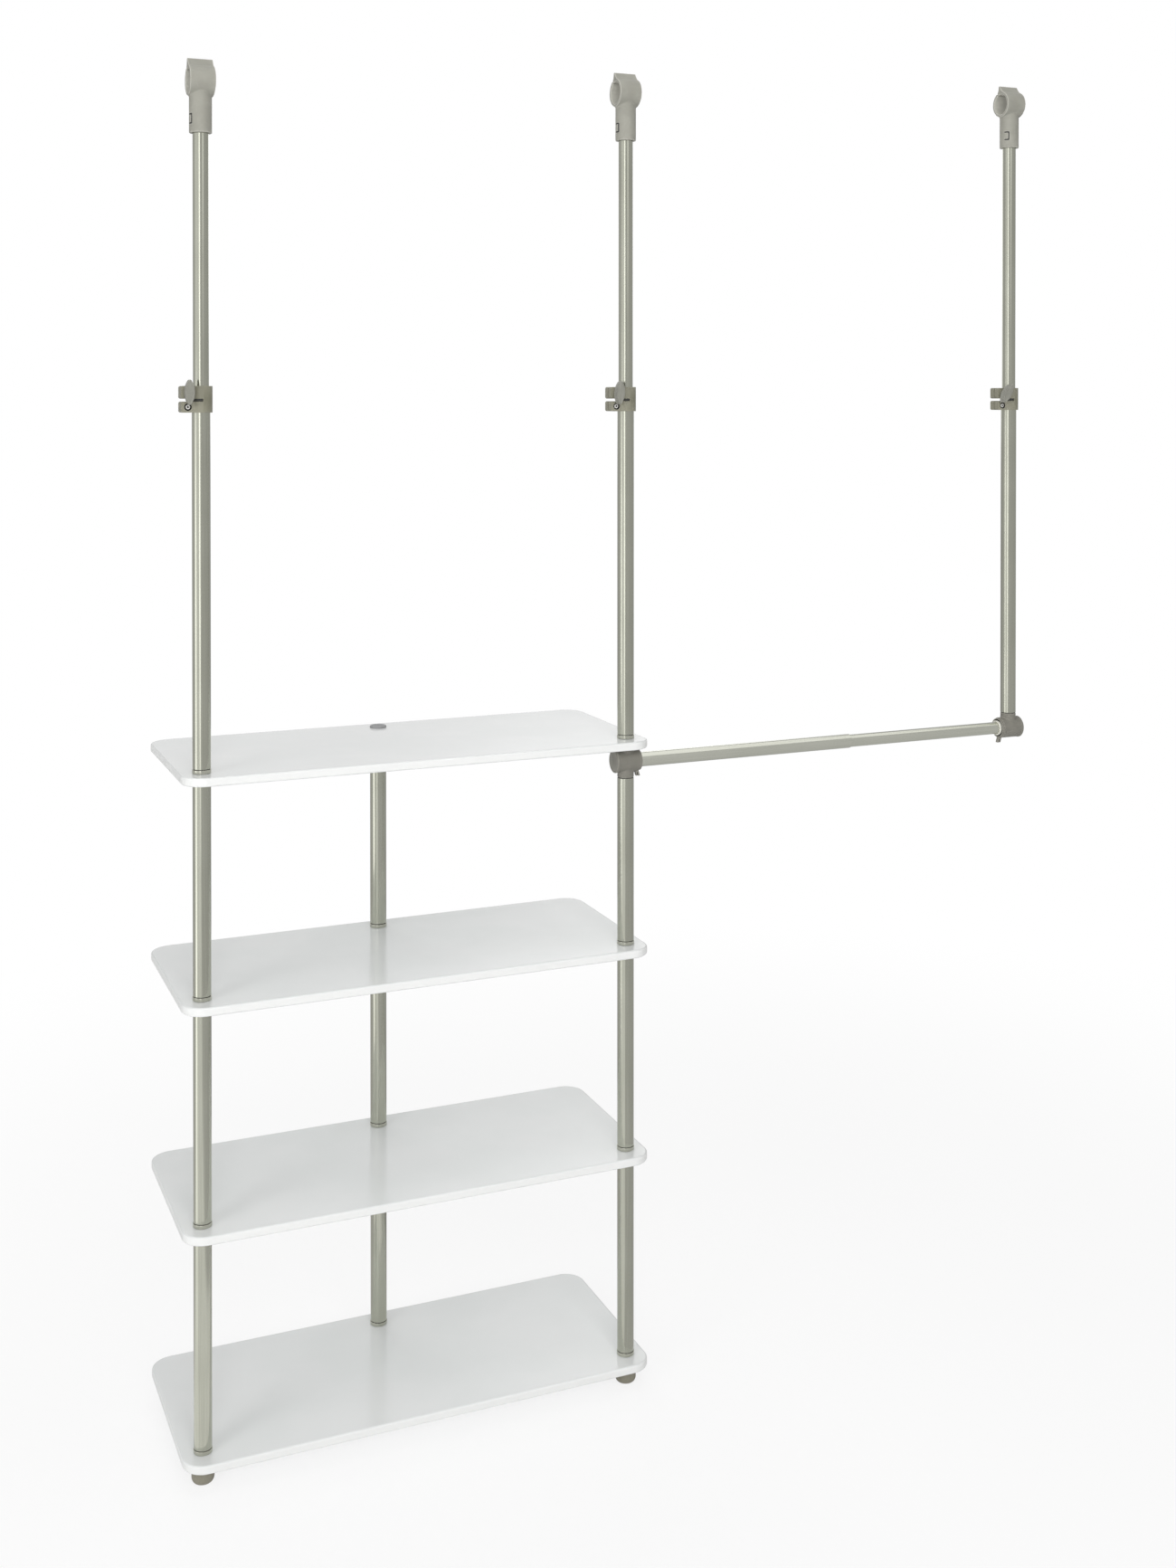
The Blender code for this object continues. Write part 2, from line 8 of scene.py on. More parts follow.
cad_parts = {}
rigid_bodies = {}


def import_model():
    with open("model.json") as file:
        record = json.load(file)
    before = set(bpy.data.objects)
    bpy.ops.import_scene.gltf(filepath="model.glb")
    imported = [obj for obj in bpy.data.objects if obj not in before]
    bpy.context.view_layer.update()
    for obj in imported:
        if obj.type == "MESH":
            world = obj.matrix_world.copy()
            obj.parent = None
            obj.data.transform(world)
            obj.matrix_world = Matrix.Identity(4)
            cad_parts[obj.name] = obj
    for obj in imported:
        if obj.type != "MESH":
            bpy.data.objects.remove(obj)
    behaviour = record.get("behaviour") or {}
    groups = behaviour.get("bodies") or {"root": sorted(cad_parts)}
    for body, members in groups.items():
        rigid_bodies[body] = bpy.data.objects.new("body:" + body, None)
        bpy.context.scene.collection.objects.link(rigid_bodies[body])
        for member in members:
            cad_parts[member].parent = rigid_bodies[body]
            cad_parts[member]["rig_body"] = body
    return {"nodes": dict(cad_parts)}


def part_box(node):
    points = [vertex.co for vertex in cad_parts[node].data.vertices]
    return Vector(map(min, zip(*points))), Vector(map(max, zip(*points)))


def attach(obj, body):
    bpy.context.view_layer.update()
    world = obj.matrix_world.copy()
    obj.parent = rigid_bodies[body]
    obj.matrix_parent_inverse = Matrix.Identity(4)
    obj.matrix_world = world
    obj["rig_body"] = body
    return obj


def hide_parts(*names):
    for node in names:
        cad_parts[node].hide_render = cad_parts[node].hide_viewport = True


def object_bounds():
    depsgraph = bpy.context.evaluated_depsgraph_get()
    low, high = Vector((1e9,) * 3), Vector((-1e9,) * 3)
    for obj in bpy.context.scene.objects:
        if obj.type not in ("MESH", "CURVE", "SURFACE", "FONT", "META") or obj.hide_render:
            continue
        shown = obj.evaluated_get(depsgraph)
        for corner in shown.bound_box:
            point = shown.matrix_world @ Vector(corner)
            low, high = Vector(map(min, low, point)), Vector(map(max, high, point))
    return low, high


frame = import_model()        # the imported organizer: metres, +X along the hang rod, +Y to the rear, +Z up
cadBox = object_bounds()
boxMiddle = (cadBox[0] + cadBox[1]) / 2          # the studio is centred on it

origin = (0.0, 0.0, 0.0)
upAxis = (0.0, 0.0, 1.0)
fitGap = 0.0003          # clearance that the frame leaves between touching pieces
mergeGap = 1e-6          # points nearer than this are one
sameGap = 1e-5           # heights and radii nearer than this are the same
squareAngle = 60         # degrees; picks edges that are about square
sharpAngle = 50          # degrees; flatter edges are shaded smooth
wearAndLightLayer = "wear"       # attribute that says how rubbed a spot is, and where light is painted on shelf rims and in clip bores


# shader maths

class Wire:              # one socket of a node tree
    def __init__(self, tree, socket=None):
        self.tree = tree
        self.socket = socket

    def node(self, kind, settings=None, sockets=None, outlet=0):
        made = self.tree.nodes.new(kind)
        for name, value in (settings or {}).items():
            setattr(made, name, value)
        for name, value in (sockets or {}).items():
            if isinstance(value, Wire):
                self.tree.links.new(value.socket, made.inputs[name])
            else:
                made.inputs[name].default_value = value
        return Wire(self.tree, made.outputs[outlet])

    def maths(self, operation, first, second):
        return self.node("ShaderNodeMath", {"operation": operation}, {0: first, 1: second})

    def __add__(self, other):
        return self.maths("ADD", self, other)

    def __radd__(self, other):
        return self.maths("ADD", other, self)

    def __sub__(self, other):
        return self.maths("SUBTRACT", self, other)

    def __rsub__(self, other):
        return self.maths("SUBTRACT", other, self)

    def __mul__(self, other):
        return self.maths("MULTIPLY", self, other)

    def __rmul__(self, other):
        return self.maths("MULTIPLY", other, self)

    def noise(self, scale, detail):               # fractal noise at this vector
        return self.node("ShaderNodeTexNoise", None, {"Vector": self, "Scale": scale, "Detail": detail})

    def stretched(self, scale):                   # this vector, scaled along its axes
        return self.node("ShaderNodeMapping", None, {"Vector": self, "Scale": scale})

    def fromPlace(self, place):                   # this vector, measured from an upright line
        return self.node("ShaderNodeMapping", None, {"Vector": self, "Location": (-place.x, -place.y, 0)})

    def part(self, axis):                         # X, Y or Z of this vector
        return self.node("ShaderNodeSeparateXYZ", None, {"Vector": self}, outlet=axis)

    def ramp(self, low, high, start=0.0, stop=1.0):         # this value, smoothly mapped to start..stop
        return self.node("ShaderNodeMapRange", {"interpolation_type": "SMOOTHSTEP"},
                         {"Value": self, "From Min": low, "From Max": high, "To Min": start, "To Max": stop})

    def blend(self, first, second):               # colour mixed by this value
        return self.node("ShaderNodeMix", {"data_type": "RGBA"}, {0: self, 6: first, 7: second}, outlet=2)

    def bump(self, strength, distance):           # normal from this height
        return self.node("ShaderNodeBump", None, {"Strength": strength, "Distance": distance, "Height": self})


class Finish:            # a material and the places where its pattern plugs in
    def __init__(self, name, **constants):
        self.material = bpy.data.materials.new(name)
        self.material.use_nodes = True
        self.tree = self.material.node_tree
        self.shader = self.tree.nodes["Principled BSDF"]
        for socket, value in constants.items():
            self.shader.inputs[socket.replace("_", " ")].default_value = value
        self.wire = Wire(self.tree)
        self.spot = self.wire.node("ShaderNodeTexCoord", outlet="Object")

    def wear(self):                               # how rubbed each spot is, from 0 to 1; also painted light on shelf rims and in clip bores
        return self.wire.node("ShaderNodeAttribute", {"attribute_name": wearAndLightLayer}, outlet="Fac")

    def feed(self, **links):
        for socket, wire in links.items():
            self.tree.links.new(wire.socket, self.shader.inputs[socket.replace("_", " ")])
        return self.material


# finishes: a noise is (scale, detail), a range (low, high), a bump (strength, distance)

melamineLook = {
    "shade": (0.786, 0.804, 0.797, 1), "light": (0.815, 0.826, 0.821, 1),
    "rim": (0.822, 0.826, 0.814, 1), "rimShare": 0.7,
    "cloud": (6.0, 3.0), "cloudRange": (0.35, 0.65), "smudge": (24.0, 4.0), "smudgeRange": (0.45, 0.75),
    "grain": (1300.0, 2.0), "bump": (0.05, 0.0004),
    "roughness": 0.13, "smudgeRoughness": 0.03, "grainRoughness": 0.05, "rimRoughness": 0.45,
}


def makeMelamine():
    look = melamineLook
    finish = Finish("whiteMelamine")
    wear = finish.wear()
    cloud = finish.spot.noise(*look["cloud"]).ramp(*look["cloudRange"])
    smudge = finish.spot.noise(*look["smudge"]).ramp(*look["smudgeRange"])
    grain = finish.spot.noise(*look["grain"])
    board = cloud.blend(look["shade"], look["light"])
    colour = (look["rimShare"] * wear).blend(board, look["rim"])           # rims paler: the edge band's own colour, with a painted highlight of the lit rim
    rough = look["roughness"] + look["smudgeRoughness"] * smudge + look["grainRoughness"] * grain
    rough = rough + look["rimRoughness"] * wear
    return finish.feed(Base_Color=colour, Roughness=rough, Normal=grain.bump(*look["bump"]))


nickelLook = {
    "lineScale": 900.0, "lineStretch": 8.0, "lines": (1.0, 3.0), "flake": (2400.0, 1.0), "tone": (9.0, 2.0),
    "lineShare": 0.4, "flakeShare": 0.3, "toneShare": 0.3, "colourRange": (0.35, 0.65),
    "roughness": 0.10, "lineRoughness": 0.08, "toneRoughness": 0.05,
    "lineHeight": 0.6, "flakeHeight": 0.4, "bump": (0.04, 0.0002),
}


def makeNickel(name, along, shade, light):        # satin metal, drawn along axis 0, 1 or 2
    look = nickelLook
    finish = Finish(name, Metallic=1.0)
    scale = [look["lineScale"]] * 3
    scale[along] = look["lineStretch"]
    lines = finish.spot.stretched(scale).noise(*look["lines"])
    flake = finish.spot.noise(*look["flake"])
    tone = finish.spot.noise(*look["tone"])
    mixed = look["lineShare"] * lines + look["flakeShare"] * flake + look["toneShare"] * tone
    colour = mixed.ramp(*look["colourRange"]).blend(shade, light)
    rough = look["roughness"] + look["lineRoughness"] * lines + look["toneRoughness"] * tone
    height = look["lineHeight"] * lines + look["flakeHeight"] * flake
    return finish.feed(Base_Color=colour, Roughness=rough, Normal=height.bump(*look["bump"]))


mouldedLook = {
    "flow": (45.0, 3.0), "flowRange": (0.3, 0.7), "spark": (1500.0, 2.0),
    "scuff": (210.0, 4.0), "scuffRange": (0.55, 0.75),
    "flowShare": 0.65, "sparkShare": 0.35, "wearShare": 0.55, "scuffShare": 0.05,
    "sparkRoughness": 0.10, "wearPolish": 0.10, "bump": (0.06, 0.0002),
}


def makeMoulded(name, shade, light, wornAndLit, roughness):        # plastic with a fine eroded grain
    look = mouldedLook
    finish = Finish(name)
    wear = finish.wear()
    flow = finish.spot.noise(*look["flow"]).ramp(*look["flowRange"])
    spark = finish.spot.noise(*look["spark"])
    scuff = finish.spot.noise(*look["scuff"]).ramp(*look["scuffRange"])
    body = (look["flowShare"] * flow + look["sparkShare"] * spark).blend(shade, light)
    colour = (look["wearShare"] * wear + look["scuffShare"] * scuff).blend(body, wornAndLit)     # edges rubbed pale; in the clip's bore the pale colour is painted light
    rough = roughness + look["sparkRoughness"] * spark - look["wearPolish"] * wear
    return finish.feed(Base_Color=colour, Roughness=rough, Normal=spark.bump(*look["bump"]))


footFinishLook = {
    "shade": (0.205, 0.194, 0.148, 1), "light": (0.262, 0.249, 0.192, 1), "dusty": (0.32, 0.30, 0.26, 1),
    "spark": (1200.0, 2.0), "scuff": (160.0, 4.0), "scuffRange": (0.5, 0.72), "scuffShare": 0.25,
    "dustTop": 0.006, "dustShare": 0.5,
    "roughness": 0.46, "sparkRoughness": 0.14, "scuffRoughness": 0.15, "bump": (0.14, 0.0002),
}


def makeFootFinish():
    look = footFinishLook
    finish = Finish("footPlastic")
    spark = finish.spot.noise(*look["spark"])
    scuff = finish.spot.noise(*look["scuff"]).ramp(*look["scuffRange"])
    dust = finish.spot.part("Z").ramp(0.0, look["dustTop"], look["dustShare"], 0.0)        # dusty at the sole
    body = spark.blend(look["shade"], look["light"])
    colour = (look["scuffShare"] * scuff + dust).blend(body, look["dusty"])
    rough = look["roughness"] + look["sparkRoughness"] * spark + look["scuffRoughness"] * scuff
    return finish.feed(Base_Color=colour, Roughness=rough, Normal=spark.bump(*look["bump"]))


zincLook = {
    "bright": (0.80, 0.79, 0.75, 1), "stained": (0.66, 0.65, 0.61, 1), "metallic": 0.45,
    "turningScale": (2200.0, 40.0, 2200.0), "turning": (1.0, 2.0),
    "stain": (260.0, 3.0), "stainRange": (0.4, 0.7),
    "roughness": 0.22, "turningRoughness": 0.14, "stainRoughness": 0.08, "bump": (0.05, 0.0001),
}


def makeZinc():
    look = zincLook
    finish = Finish("zincSteel", Metallic=look["metallic"])
    turning = finish.spot.stretched(look["turningScale"]).noise(*look["turning"])
    stain = finish.spot.noise(*look["stain"]).ramp(*look["stainRange"])
    colour = stain.blend(look["bright"], look["stained"])
    rough = look["roughness"] + look["turningRoughness"] * turning + look["stainRoughness"] * stain
    return finish.feed(Base_Color=colour, Roughness=rough, Normal=turning.bump(*look["bump"]))


melamine = makeMelamine()
nickelUpright = makeNickel("satinNickelUpright", 2, (0.475, 0.480, 0.405, 1), (0.560, 0.566, 0.485, 1))
# the hang rod's copy of the same satin nickel, painted paler as light
nickelLevelPaintedLight = makeNickel("satinNickelLevel", 0, (0.690, 0.697, 0.610, 1), (0.760, 0.766, 0.680, 1))
ferruleMetal = makeNickel("ferruleNickel", 1, (0.500, 0.500, 0.430, 1), (0.600, 0.600, 0.520, 1))
# clip plastic; its pale worn colour also paints light into the clip's bore
clipPlastic = makeMoulded("clipPlastic", (0.270, 0.266, 0.228, 1), (0.328, 0.323, 0.280, 1),
                          (0.66, 0.65, 0.59, 1), 0.42)
knobPlastic = makeMoulded("knobPlastic", (0.172, 0.172, 0.146, 1), (0.212, 0.212, 0.181, 1),
                          (0.37, 0.365, 0.32, 1), 0.40)
capPlastic = makeMoulded("capPlastic", (0.235, 0.238, 0.242, 1), (0.290, 0.293, 0.298, 1),
                         (0.36, 0.36, 0.36, 1), 0.45)
palePlastic = makeMoulded("palePlastic", (0.62, 0.61, 0.53, 1), (0.70, 0.69, 0.61, 1),
                          (0.76, 0.75, 0.69, 1), 0.38)
collarPlastic = makeMoulded("collarPlastic", (0.155, 0.151, 0.106, 1), (0.200, 0.195, 0.138, 1),
                            (0.33, 0.32, 0.255, 1), 0.40)
fittingPlastic = makeMoulded("fittingPlastic", (0.175, 0.168, 0.143, 1), (0.222, 0.214, 0.183, 1),
                             (0.33, 0.32, 0.28, 1), 0.40)
# near-black plastic of the inserts, also the dark finish that paints shade into grooves, recesses and gaps
insertPlastic = makeMoulded("insertPlastic", (0.022, 0.022, 0.020, 1), (0.040, 0.040, 0.037, 1),
                            (0.06, 0.06, 0.055, 1), 0.60)
footPlastic = makeFootFinish()
zincSteel = makeZinc()
print("finishes made:", len(bpy.data.materials))


# shaping

def turnedShape(profile, closed=False, steps=64):           # (radius, height) points turned about Z
    bm = bmesh.new()
    verts = [bm.verts.new((radius, 0, height)) for radius, height in profile]
    ends = verts[1:] + verts[:1] if closed else verts[1:]
    edges = [bm.edges.new(pair) for pair in zip(verts, ends)]
    bmesh.ops.spin(bm, geom=verts + edges, cent=origin, axis=upAxis, angle=math.tau, steps=steps,
                   use_merge=True)
    bmesh.ops.remove_doubles(bm, verts=bm.verts, dist=mergeGap)
    bmesh.ops.recalc_face_normals(bm, faces=bm.faces)
    return bm


def rodShape(radius, low, high, steps=64):                  # solid cylinder along Z
    return turnedShape([(0, low), (radius, low), (radius, high), (0, high)], steps=steps)


def ringShape(inner, outer, low, high, steps):              # square-edged ring about Z
    return turnedShape([(outer, low), (outer, high), (inner, high), (inner, low)], closed=True, steps=steps)


def boxShape(low, high):
    bm = bmesh.new()
    size = Vector(high) - Vector(low)
    middle = (Vector(high) + Vector(low)) / 2
    bmesh.ops.create_cube(bm, size=1, matrix=Matrix.Translation(middle) @ Matrix.Diagonal((*size, 1)))
    return bm


def pushed(bm, vec):                                        # flat shape pushed along a vector
    result = bmesh.ops.extrude_face_region(bm, geom=list(bm.faces))
    moved = [item for item in result["geom"] if isinstance(item, bmesh.types.BMVert)]
    bmesh.ops.translate(bm, verts=moved, vec=vec)
    bmesh.ops.recalc_face_normals(bm, faces=bm.faces)
    return bm


def pushedShape(outline, vec):                              # closed outline pushed along a vector
    bm = bmesh.new()
    bm.faces.new([bm.verts.new(point) for point in outline])
    return pushed(bm, vec)


def arcPoints(radius, start, stop, steps):                  # (across, up), angles from the top, degrees
    angles = [math.radians(start + (stop - start) * step / steps) for step in range(steps + 1)]
    return [(radius * math.sin(angle), radius * math.cos(angle)) for angle in angles]


def soften(bm, width, segments=3, minAngle=28, pick=None):  # round the sharp edges
    sharp = [edge for edge in bm.edges if edge.calc_face_angle(0) > math.radians(minAngle)]
    chosen = [edge for edge in sharp if pick is None or pick(edge)]
    bmesh.ops.bevel(bm, geom=chosen, offset=width, segments=segments, profile=0.5, affect="EDGES",
                    material=-1, clamp_overlap=True)
    return bm


def turn(bm, degrees, axis):
    bmesh.ops.rotate(bm, verts=bm.verts, cent=origin, matrix=Matrix.Rotation(math.radians(degrees), 3, axis))
    return bm


def shift(bm, vec):
    bmesh.ops.translate(bm, verts=bm.verts, vec=vec)
    return bm


def meshObject(bm, name):                                   # bmesh as an object of the scene
    mesh = bpy.data.meshes.new(name)
    bm.to_mesh(mesh)
    bm.free()
    made = bpy.data.objects.new(name, mesh)
    bpy.context.scene.collection.objects.link(made)
    return made


def worked(bm, steps):                                      # bmesh after a list of (modifier, settings)
    holder = meshObject(bm, "scratch")
    for kind, settings in steps:
        modifier = holder.modifiers.new(kind, kind)
        for name, value in settings.items():
            setattr(modifier, name, value)
    result = bmesh.new()
    result.from_object(holder, bpy.context.evaluated_depsgraph_get())
    bpy.data.objects.remove(holder)
    return result


def combined(base, joins=(), cuts=()):                      # base with shapes joined on and others cut out
    helpers = [("UNION", meshObject(shape, "scratch")) for shape in joins]
    helpers += [("DIFFERENCE", meshObject(shape, "scratch")) for shape in cuts]
    steps = [("BOOLEAN", {"operation": operation, "solver": "EXACT", "object": helper})
             for operation, helper in helpers]
    result = worked(base, steps)
    for operation, helper in helpers:
        bpy.data.objects.remove(helper)
    return result


def settle(bm, verts, rounds):                              # smooth these points a few times
    for done in range(rounds):
        bmesh.ops.smooth_vert(bm, verts=list(verts), factor=0.5,
                              use_axis_x=True, use_axis_y=True, use_axis_z=True)


def mouldedSkin(bm, voxel, rounds):                         # one even skin with the soft edges of a moulding
    skin = worked(bm, [("REMESH", {"mode": "VOXEL", "voxel_size": voxel})])
    settle(skin, skin.verts, rounds)
    return skin


def merged(first, *others):                                 # several shells in one mesh
    for other in others:
        mesh = bpy.data.meshes.new("shell")
        other.to_mesh(mesh)
        other.free()
        first.from_mesh(mesh)
        bpy.data.meshes.remove(mesh)
    return first


def isRim(edge, radius, heights):                           # ring edge of this radius at one of these heights
    first, second = [vert.co for vert in edge.verts]
    level = abs(first.z - second.z) < sameGap
    onRadius = all(abs(point.xy.length - radius) < sameGap for point in (first, second))
    return level and onRadius and any(abs(first.z - height) < sameGap for height in heights)


def edgeWear(vert, fullAngle=30):                           # 1 on convex edges, 0 on flats
    bends = [edge.calc_face_angle_signed(0) for edge in vert.link_edges]
    return min(1.0, max(bends + [0.0]) / math.radians(fullAngle))


def markWearAndLight(bm, wearAndLightAt):                                   # how rubbed each spot is, and where light is painted, for the finishes
    layer = bm.verts.layers.float.new(wearAndLightLayer)
    for vert in bm.verts:
        vert[layer] = wearAndLightAt(vert)


def withPaintedShade(bm, pick=None):                                # faces that take a piece's dark second finish: painted shade in grooves, recesses, gaps and slots
    for face in bm.faces:
        if pick is None or pick(face.calc_center_median()):
            face.material_index = 1
    return bm


def camel(node):                                            # left_rod_clip -> leftRodClip
    first, *others = node.split("_")
    return first + "".join(word.capitalize() for word in others)


def addPiece(node, bm, finish, wearAndLightAt=edgeWear):      # piece that stands for a node, on the node's body
    markWearAndLight(bm, wearAndLightAt)
    piece = meshObject(bm, camel(node))
    piece.data.shade_smooth()
    piece.data.set_sharp_from_angle(angle=math.radians(sharpAngle))
    piece.data.materials.append(finish)
    # the dark second finish paints shade on the faces picked out as shaded
    if any(face.material_index for face in piece.data.polygons):
        piece.data.materials.append(insertPlastic)
    weighted = piece.modifiers.new("flatFacesLead", "WEIGHTED_NORMAL")
    weighted.keep_sharp = True
    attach(piece, frame["nodes"][node]["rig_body"])
    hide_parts(node)


def axisOf(node):                                           # centre line of an upright piece, at floor level
    low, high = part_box(node)
    return Vector(((low.x + high.x) / 2, (low.y + high.y) / 2, 0))


# shelves

shelfLook = {
    "corner": 0.032, "cornerSteps": 16, "rim": 0.003, "rimSteps": 6, "wearInset": 0.001,
    "hole": 0.0053, "holeSteps": 32,
}
shelves = ["shelf_bottom", "shelf_lower", "shelf_upper", "shelf_top"]
towerPoles = {side: axisOf(f"{side}_foot") for side in ("left", "middle", "rear")}


def makeShelf(node):                     # board with round corners and rims, drilled for the joiners' studs
    look = shelfLook
    low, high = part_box(node)
    corners = [(low.x, low.y), (high.x, low.y), (high.x, high.y), (low.x, high.y)]
    bm = bmesh.new()
    board = bm.faces.new([bm.verts.new((x, y, low.z)) for x, y in corners])
    bmesh.ops.bevel(bm, geom=list(board.verts), offset=look["corner"], segments=look["cornerSteps"],
                    profile=0.5, affect="VERTICES", material=-1)
    soften(pushed(bm, (0, 0, high.z - low.z)), look["rim"], look["rimSteps"], squareAngle)
    drill = (look["hole"], low.z - look["rim"], high.z + look["rim"], look["holeSteps"])
    holes = [shift(rodShape(*drill), pole) for pole in towerPoles.values()]

    def onRim(vert):                              # the rim takes the paler edge-band colour and painted highlight, the flat faces don't
        return float(low.z + look["wearInset"] < vert.co.z < high.z - look["wearInset"])

    addPiece(node, combined(bm, cuts=holes), melamine, onRim)


for shelf in shelves:
    makeShelf(shelf)
print("shelves made:", len(shelves))


# tubes

tubeLook = {"wall": 0.0010, "endRound": 0.0003, "steps": 72}
riserSides = ("left", "middle", "right")
uprights = [f"{side}_post_{level}" for side in towerPoles for level in (1, 2, 3)]
uprights += [f"{side}_{part}_tube" for side in riserSides for part in ("upper", "inner")]
rods = ["hang_rod_outer", "hang_rod_inner"]


def tubeShape(radius, low, high):
    look = tubeLook
    return soften(ringShape(radius - look["wall"], radius, low, high, look["steps"]), look["endRound"])


for node in uprights:
    low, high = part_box(node)
    upright = tubeShape((high.x - low.x) / 2, low.z, high.z)
    addPiece(node, shift(upright, axisOf(node)), nickelUpright)

for node in rods:
    low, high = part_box(node)
    rod = turn(tubeShape((high.z - low.z) / 2, low.x, high.x), 90, "Y")
    addPiece(node, shift(rod, (0, (low.y + high.y) / 2, (low.z + high.z) / 2)), nickelLevelPaintedLight)
print("tubes made:", len(uprights) + len(rods))


# joiners and cap

joinerLook = {
    "ringHeight": 0.006, "stud": 0.005, "spigot": 0.0114, "groove": 0.0118, "grooveWidth": 0.0006,
    "edge": 0.0007,
}
capLook = {
    "stud": 0.005, "height": 0.003, "edge": 0.0012, "ease": 0.0003, "easeSteps": 2,
    "dish": 0.0004, "dishRadius": 0.0092,
}
joiners = [(f"{side}_joiner_{level + 1}", shelf) for side in towerPoles for level, shelf in enumerate(shelves)
           if f"{side}_joiner_{level + 1}" in frame["nodes"]]


def makeJoiner(node, shelf):             # ferrule ring on a shelf, with its stud below and its spigot above
    look = joinerLook
    low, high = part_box(node)
    ring = (high.x - low.x) / 2
    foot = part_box(shelf)[1].z + fitGap
    top = foot + look["ringHeight"]
    grooveFoot = top - look["grooveWidth"]
    profile = [(0, low.z), (look["stud"], low.z), (look["stud"], foot), (ring, foot), (ring, grooveFoot),
               (look["groove"], grooveFoot), (look["groove"], top), (look["spigot"], top),
               (look["spigot"], high.z), (0, high.z)]
    bm = soften(turnedShape(profile), look["edge"], pick=lambda edge: isRim(edge, ring, [foot, grooveFoot]))
    # painted shade: the groove between the ring and the tube is given the dark finish
    withPaintedShade(bm, lambda spot: grooveFoot < spot.z < top)
    addPiece(node, shift(bm, axisOf(node)), ferruleMetal)


def makeCap(node):                       # low dished cap on the rear post's end
    look = capLook
    low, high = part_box(node)
    radius = (high.x - low.x) / 2
    foot = high.z - look["height"]
    shoulder = high.z - look["edge"]
    profile = [(0, low.z), (look["stud"], low.z), (look["stud"], foot), (radius, foot), (radius, shoulder),
               (radius - look["edge"], high.z), (look["dishRadius"], high.z), (0, high.z - look["dish"])]
    bm = turnedShape(profile)
    soften(bm, look["ease"], look["easeSteps"], pick=lambda edge: isRim(edge, radius, [shoulder]))
    addPiece(node, shift(bm, axisOf(node)), capPlastic)


for node, shelf in joiners:
    makeJoiner(node, shelf)
makeCap("rear_cap")
print("joiners made:", len(joiners))


# feet

footLook = {
    "sole": 0.0105, "bowl": 0.008, "bowlSteps": 10, "shoulder": 0.006, "top": 0.0135,
    "hole": 0.0053, "holeDepth": 0.0166, "edge": 0.0008, "edgeAngle": 20,
}


def makeFoot(node):                      # round foot with a bowl below and a hole for the joiner's stud
    look = footLook
    low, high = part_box(node)
    radius = (high.x - low.x) / 2
    bowl = [(look["sole"] + (radius - look["sole"]) * across, low.z + look["bowl"] * (1 + up))
            for across, up in arcPoints(1, 180, 90, look["bowlSteps"])]
    holeFloor = high.z - look["holeDepth"]
    profile = [(0, low.z), *bowl, (radius, high.z - look["shoulder"]), (look["top"], high.z),
               (look["hole"], high.z), (look["hole"], holeFloor), (0, holeFloor)]
    bm = turnedShape(profile)
    outermost = look["sole"] - sameGap
    soften(bm, look["edge"], minAngle=look["edgeAngle"],
           pick=lambda edge: edge.verts[0].co.xy.length > outermost)
    addPiece(node, shift(bm, axisOf(node)), footPlastic)


for side in towerPoles:
    makeFoot(f"{side}_foot")
print("feet made:", len(towerPoles))


# collars, knobs and clamp screws

collarLook = {
    "postBore": 0.0130, "riserBore": 0.0113, "barrel": 0.0158, "arcSteps": 48,
    "earHalf": 0.011, "lowerEar": 0.0153, "slit": 0.0018, "slot": 0.0040,
    "earCorner": 0.0026, "cornerSteps": 5, "edge": 0.0005, "edgeSteps": 2, "edgeAngle": 35,
    "screwOffset": 0.0200, "headHole": 0.0051, "headDepth": 0.0053, "knobHole": 0.0027, "screwHole": 0.0023,
    "holeDepth": 0.019, "holeSteps": 40, "lead": 0.0003, "darkSlack": 0.0001,
    "webIn": 0.0131, "webOut": 0.0142, "webSpan": 88,
}


def clampOutline(bore, reach):           # split ring with two ears towards -X, seen from above
    look = collarLook
    half = look["slit"] / 2
    earMeets = math.degrees(math.asin(look["earHalf"] / look["barrel"]))
    slitMeets = math.degrees(math.asin(half / bore))
    outer = arcPoints(look["barrel"], 180 + earMeets, 540 - earMeets, look["arcSteps"])
    inner = arcPoints(bore, 540 - slitMeets, 180 + slitMeets, look["arcSteps"])
    ear = [(-half, -reach), (-look["earHalf"], -reach)]
    otherEar = [(look["earHalf"], -reach), (half, -reach)]
    return [(up, across) for across, up in ear + outer + otherEar + inner]


def clampPrism(bore, reach, low, high):  # outline pushed up, its end faces parted at the pole's axis
    bm = pushedShape([(x, y, low) for x, y in clampOutline(bore, reach)], (0, 0, high - low))
    bmesh.ops.bisect_plane(bm, geom=list(bm.verts) + list(bm.edges) + list(bm.faces), dist=mergeGap,
                           plane_co=origin, plane_no=(1, 0, 0))
    return bm


def besideSlot(spot, heights):           # on the end faces that meet where the slot stops
    return spot.x > 0 and min(abs(spot.z - height) for height in heights) < sameGap


def isEarEnd(edge, tip):                 # level edge at the ears' tips
    first, second = [vert.co for vert in edge.verts]
    atTip = max(abs(first.x - tip), abs(second.x - tip)) < sameGap
    return atTip and abs(first.z - second.z) < sameGap


def inHeadHole(spot, height):            # on the walls of the clamp screw's recess, which are given painted shade
    look = collarLook
    fromScrew = math.hypot(spot.x + look["screwOffset"], spot.z - height)
    return fromScrew < look["headHole"] + look["darkSlack"] and -look["earHalf"] + look["lead"] < spot.y < 0


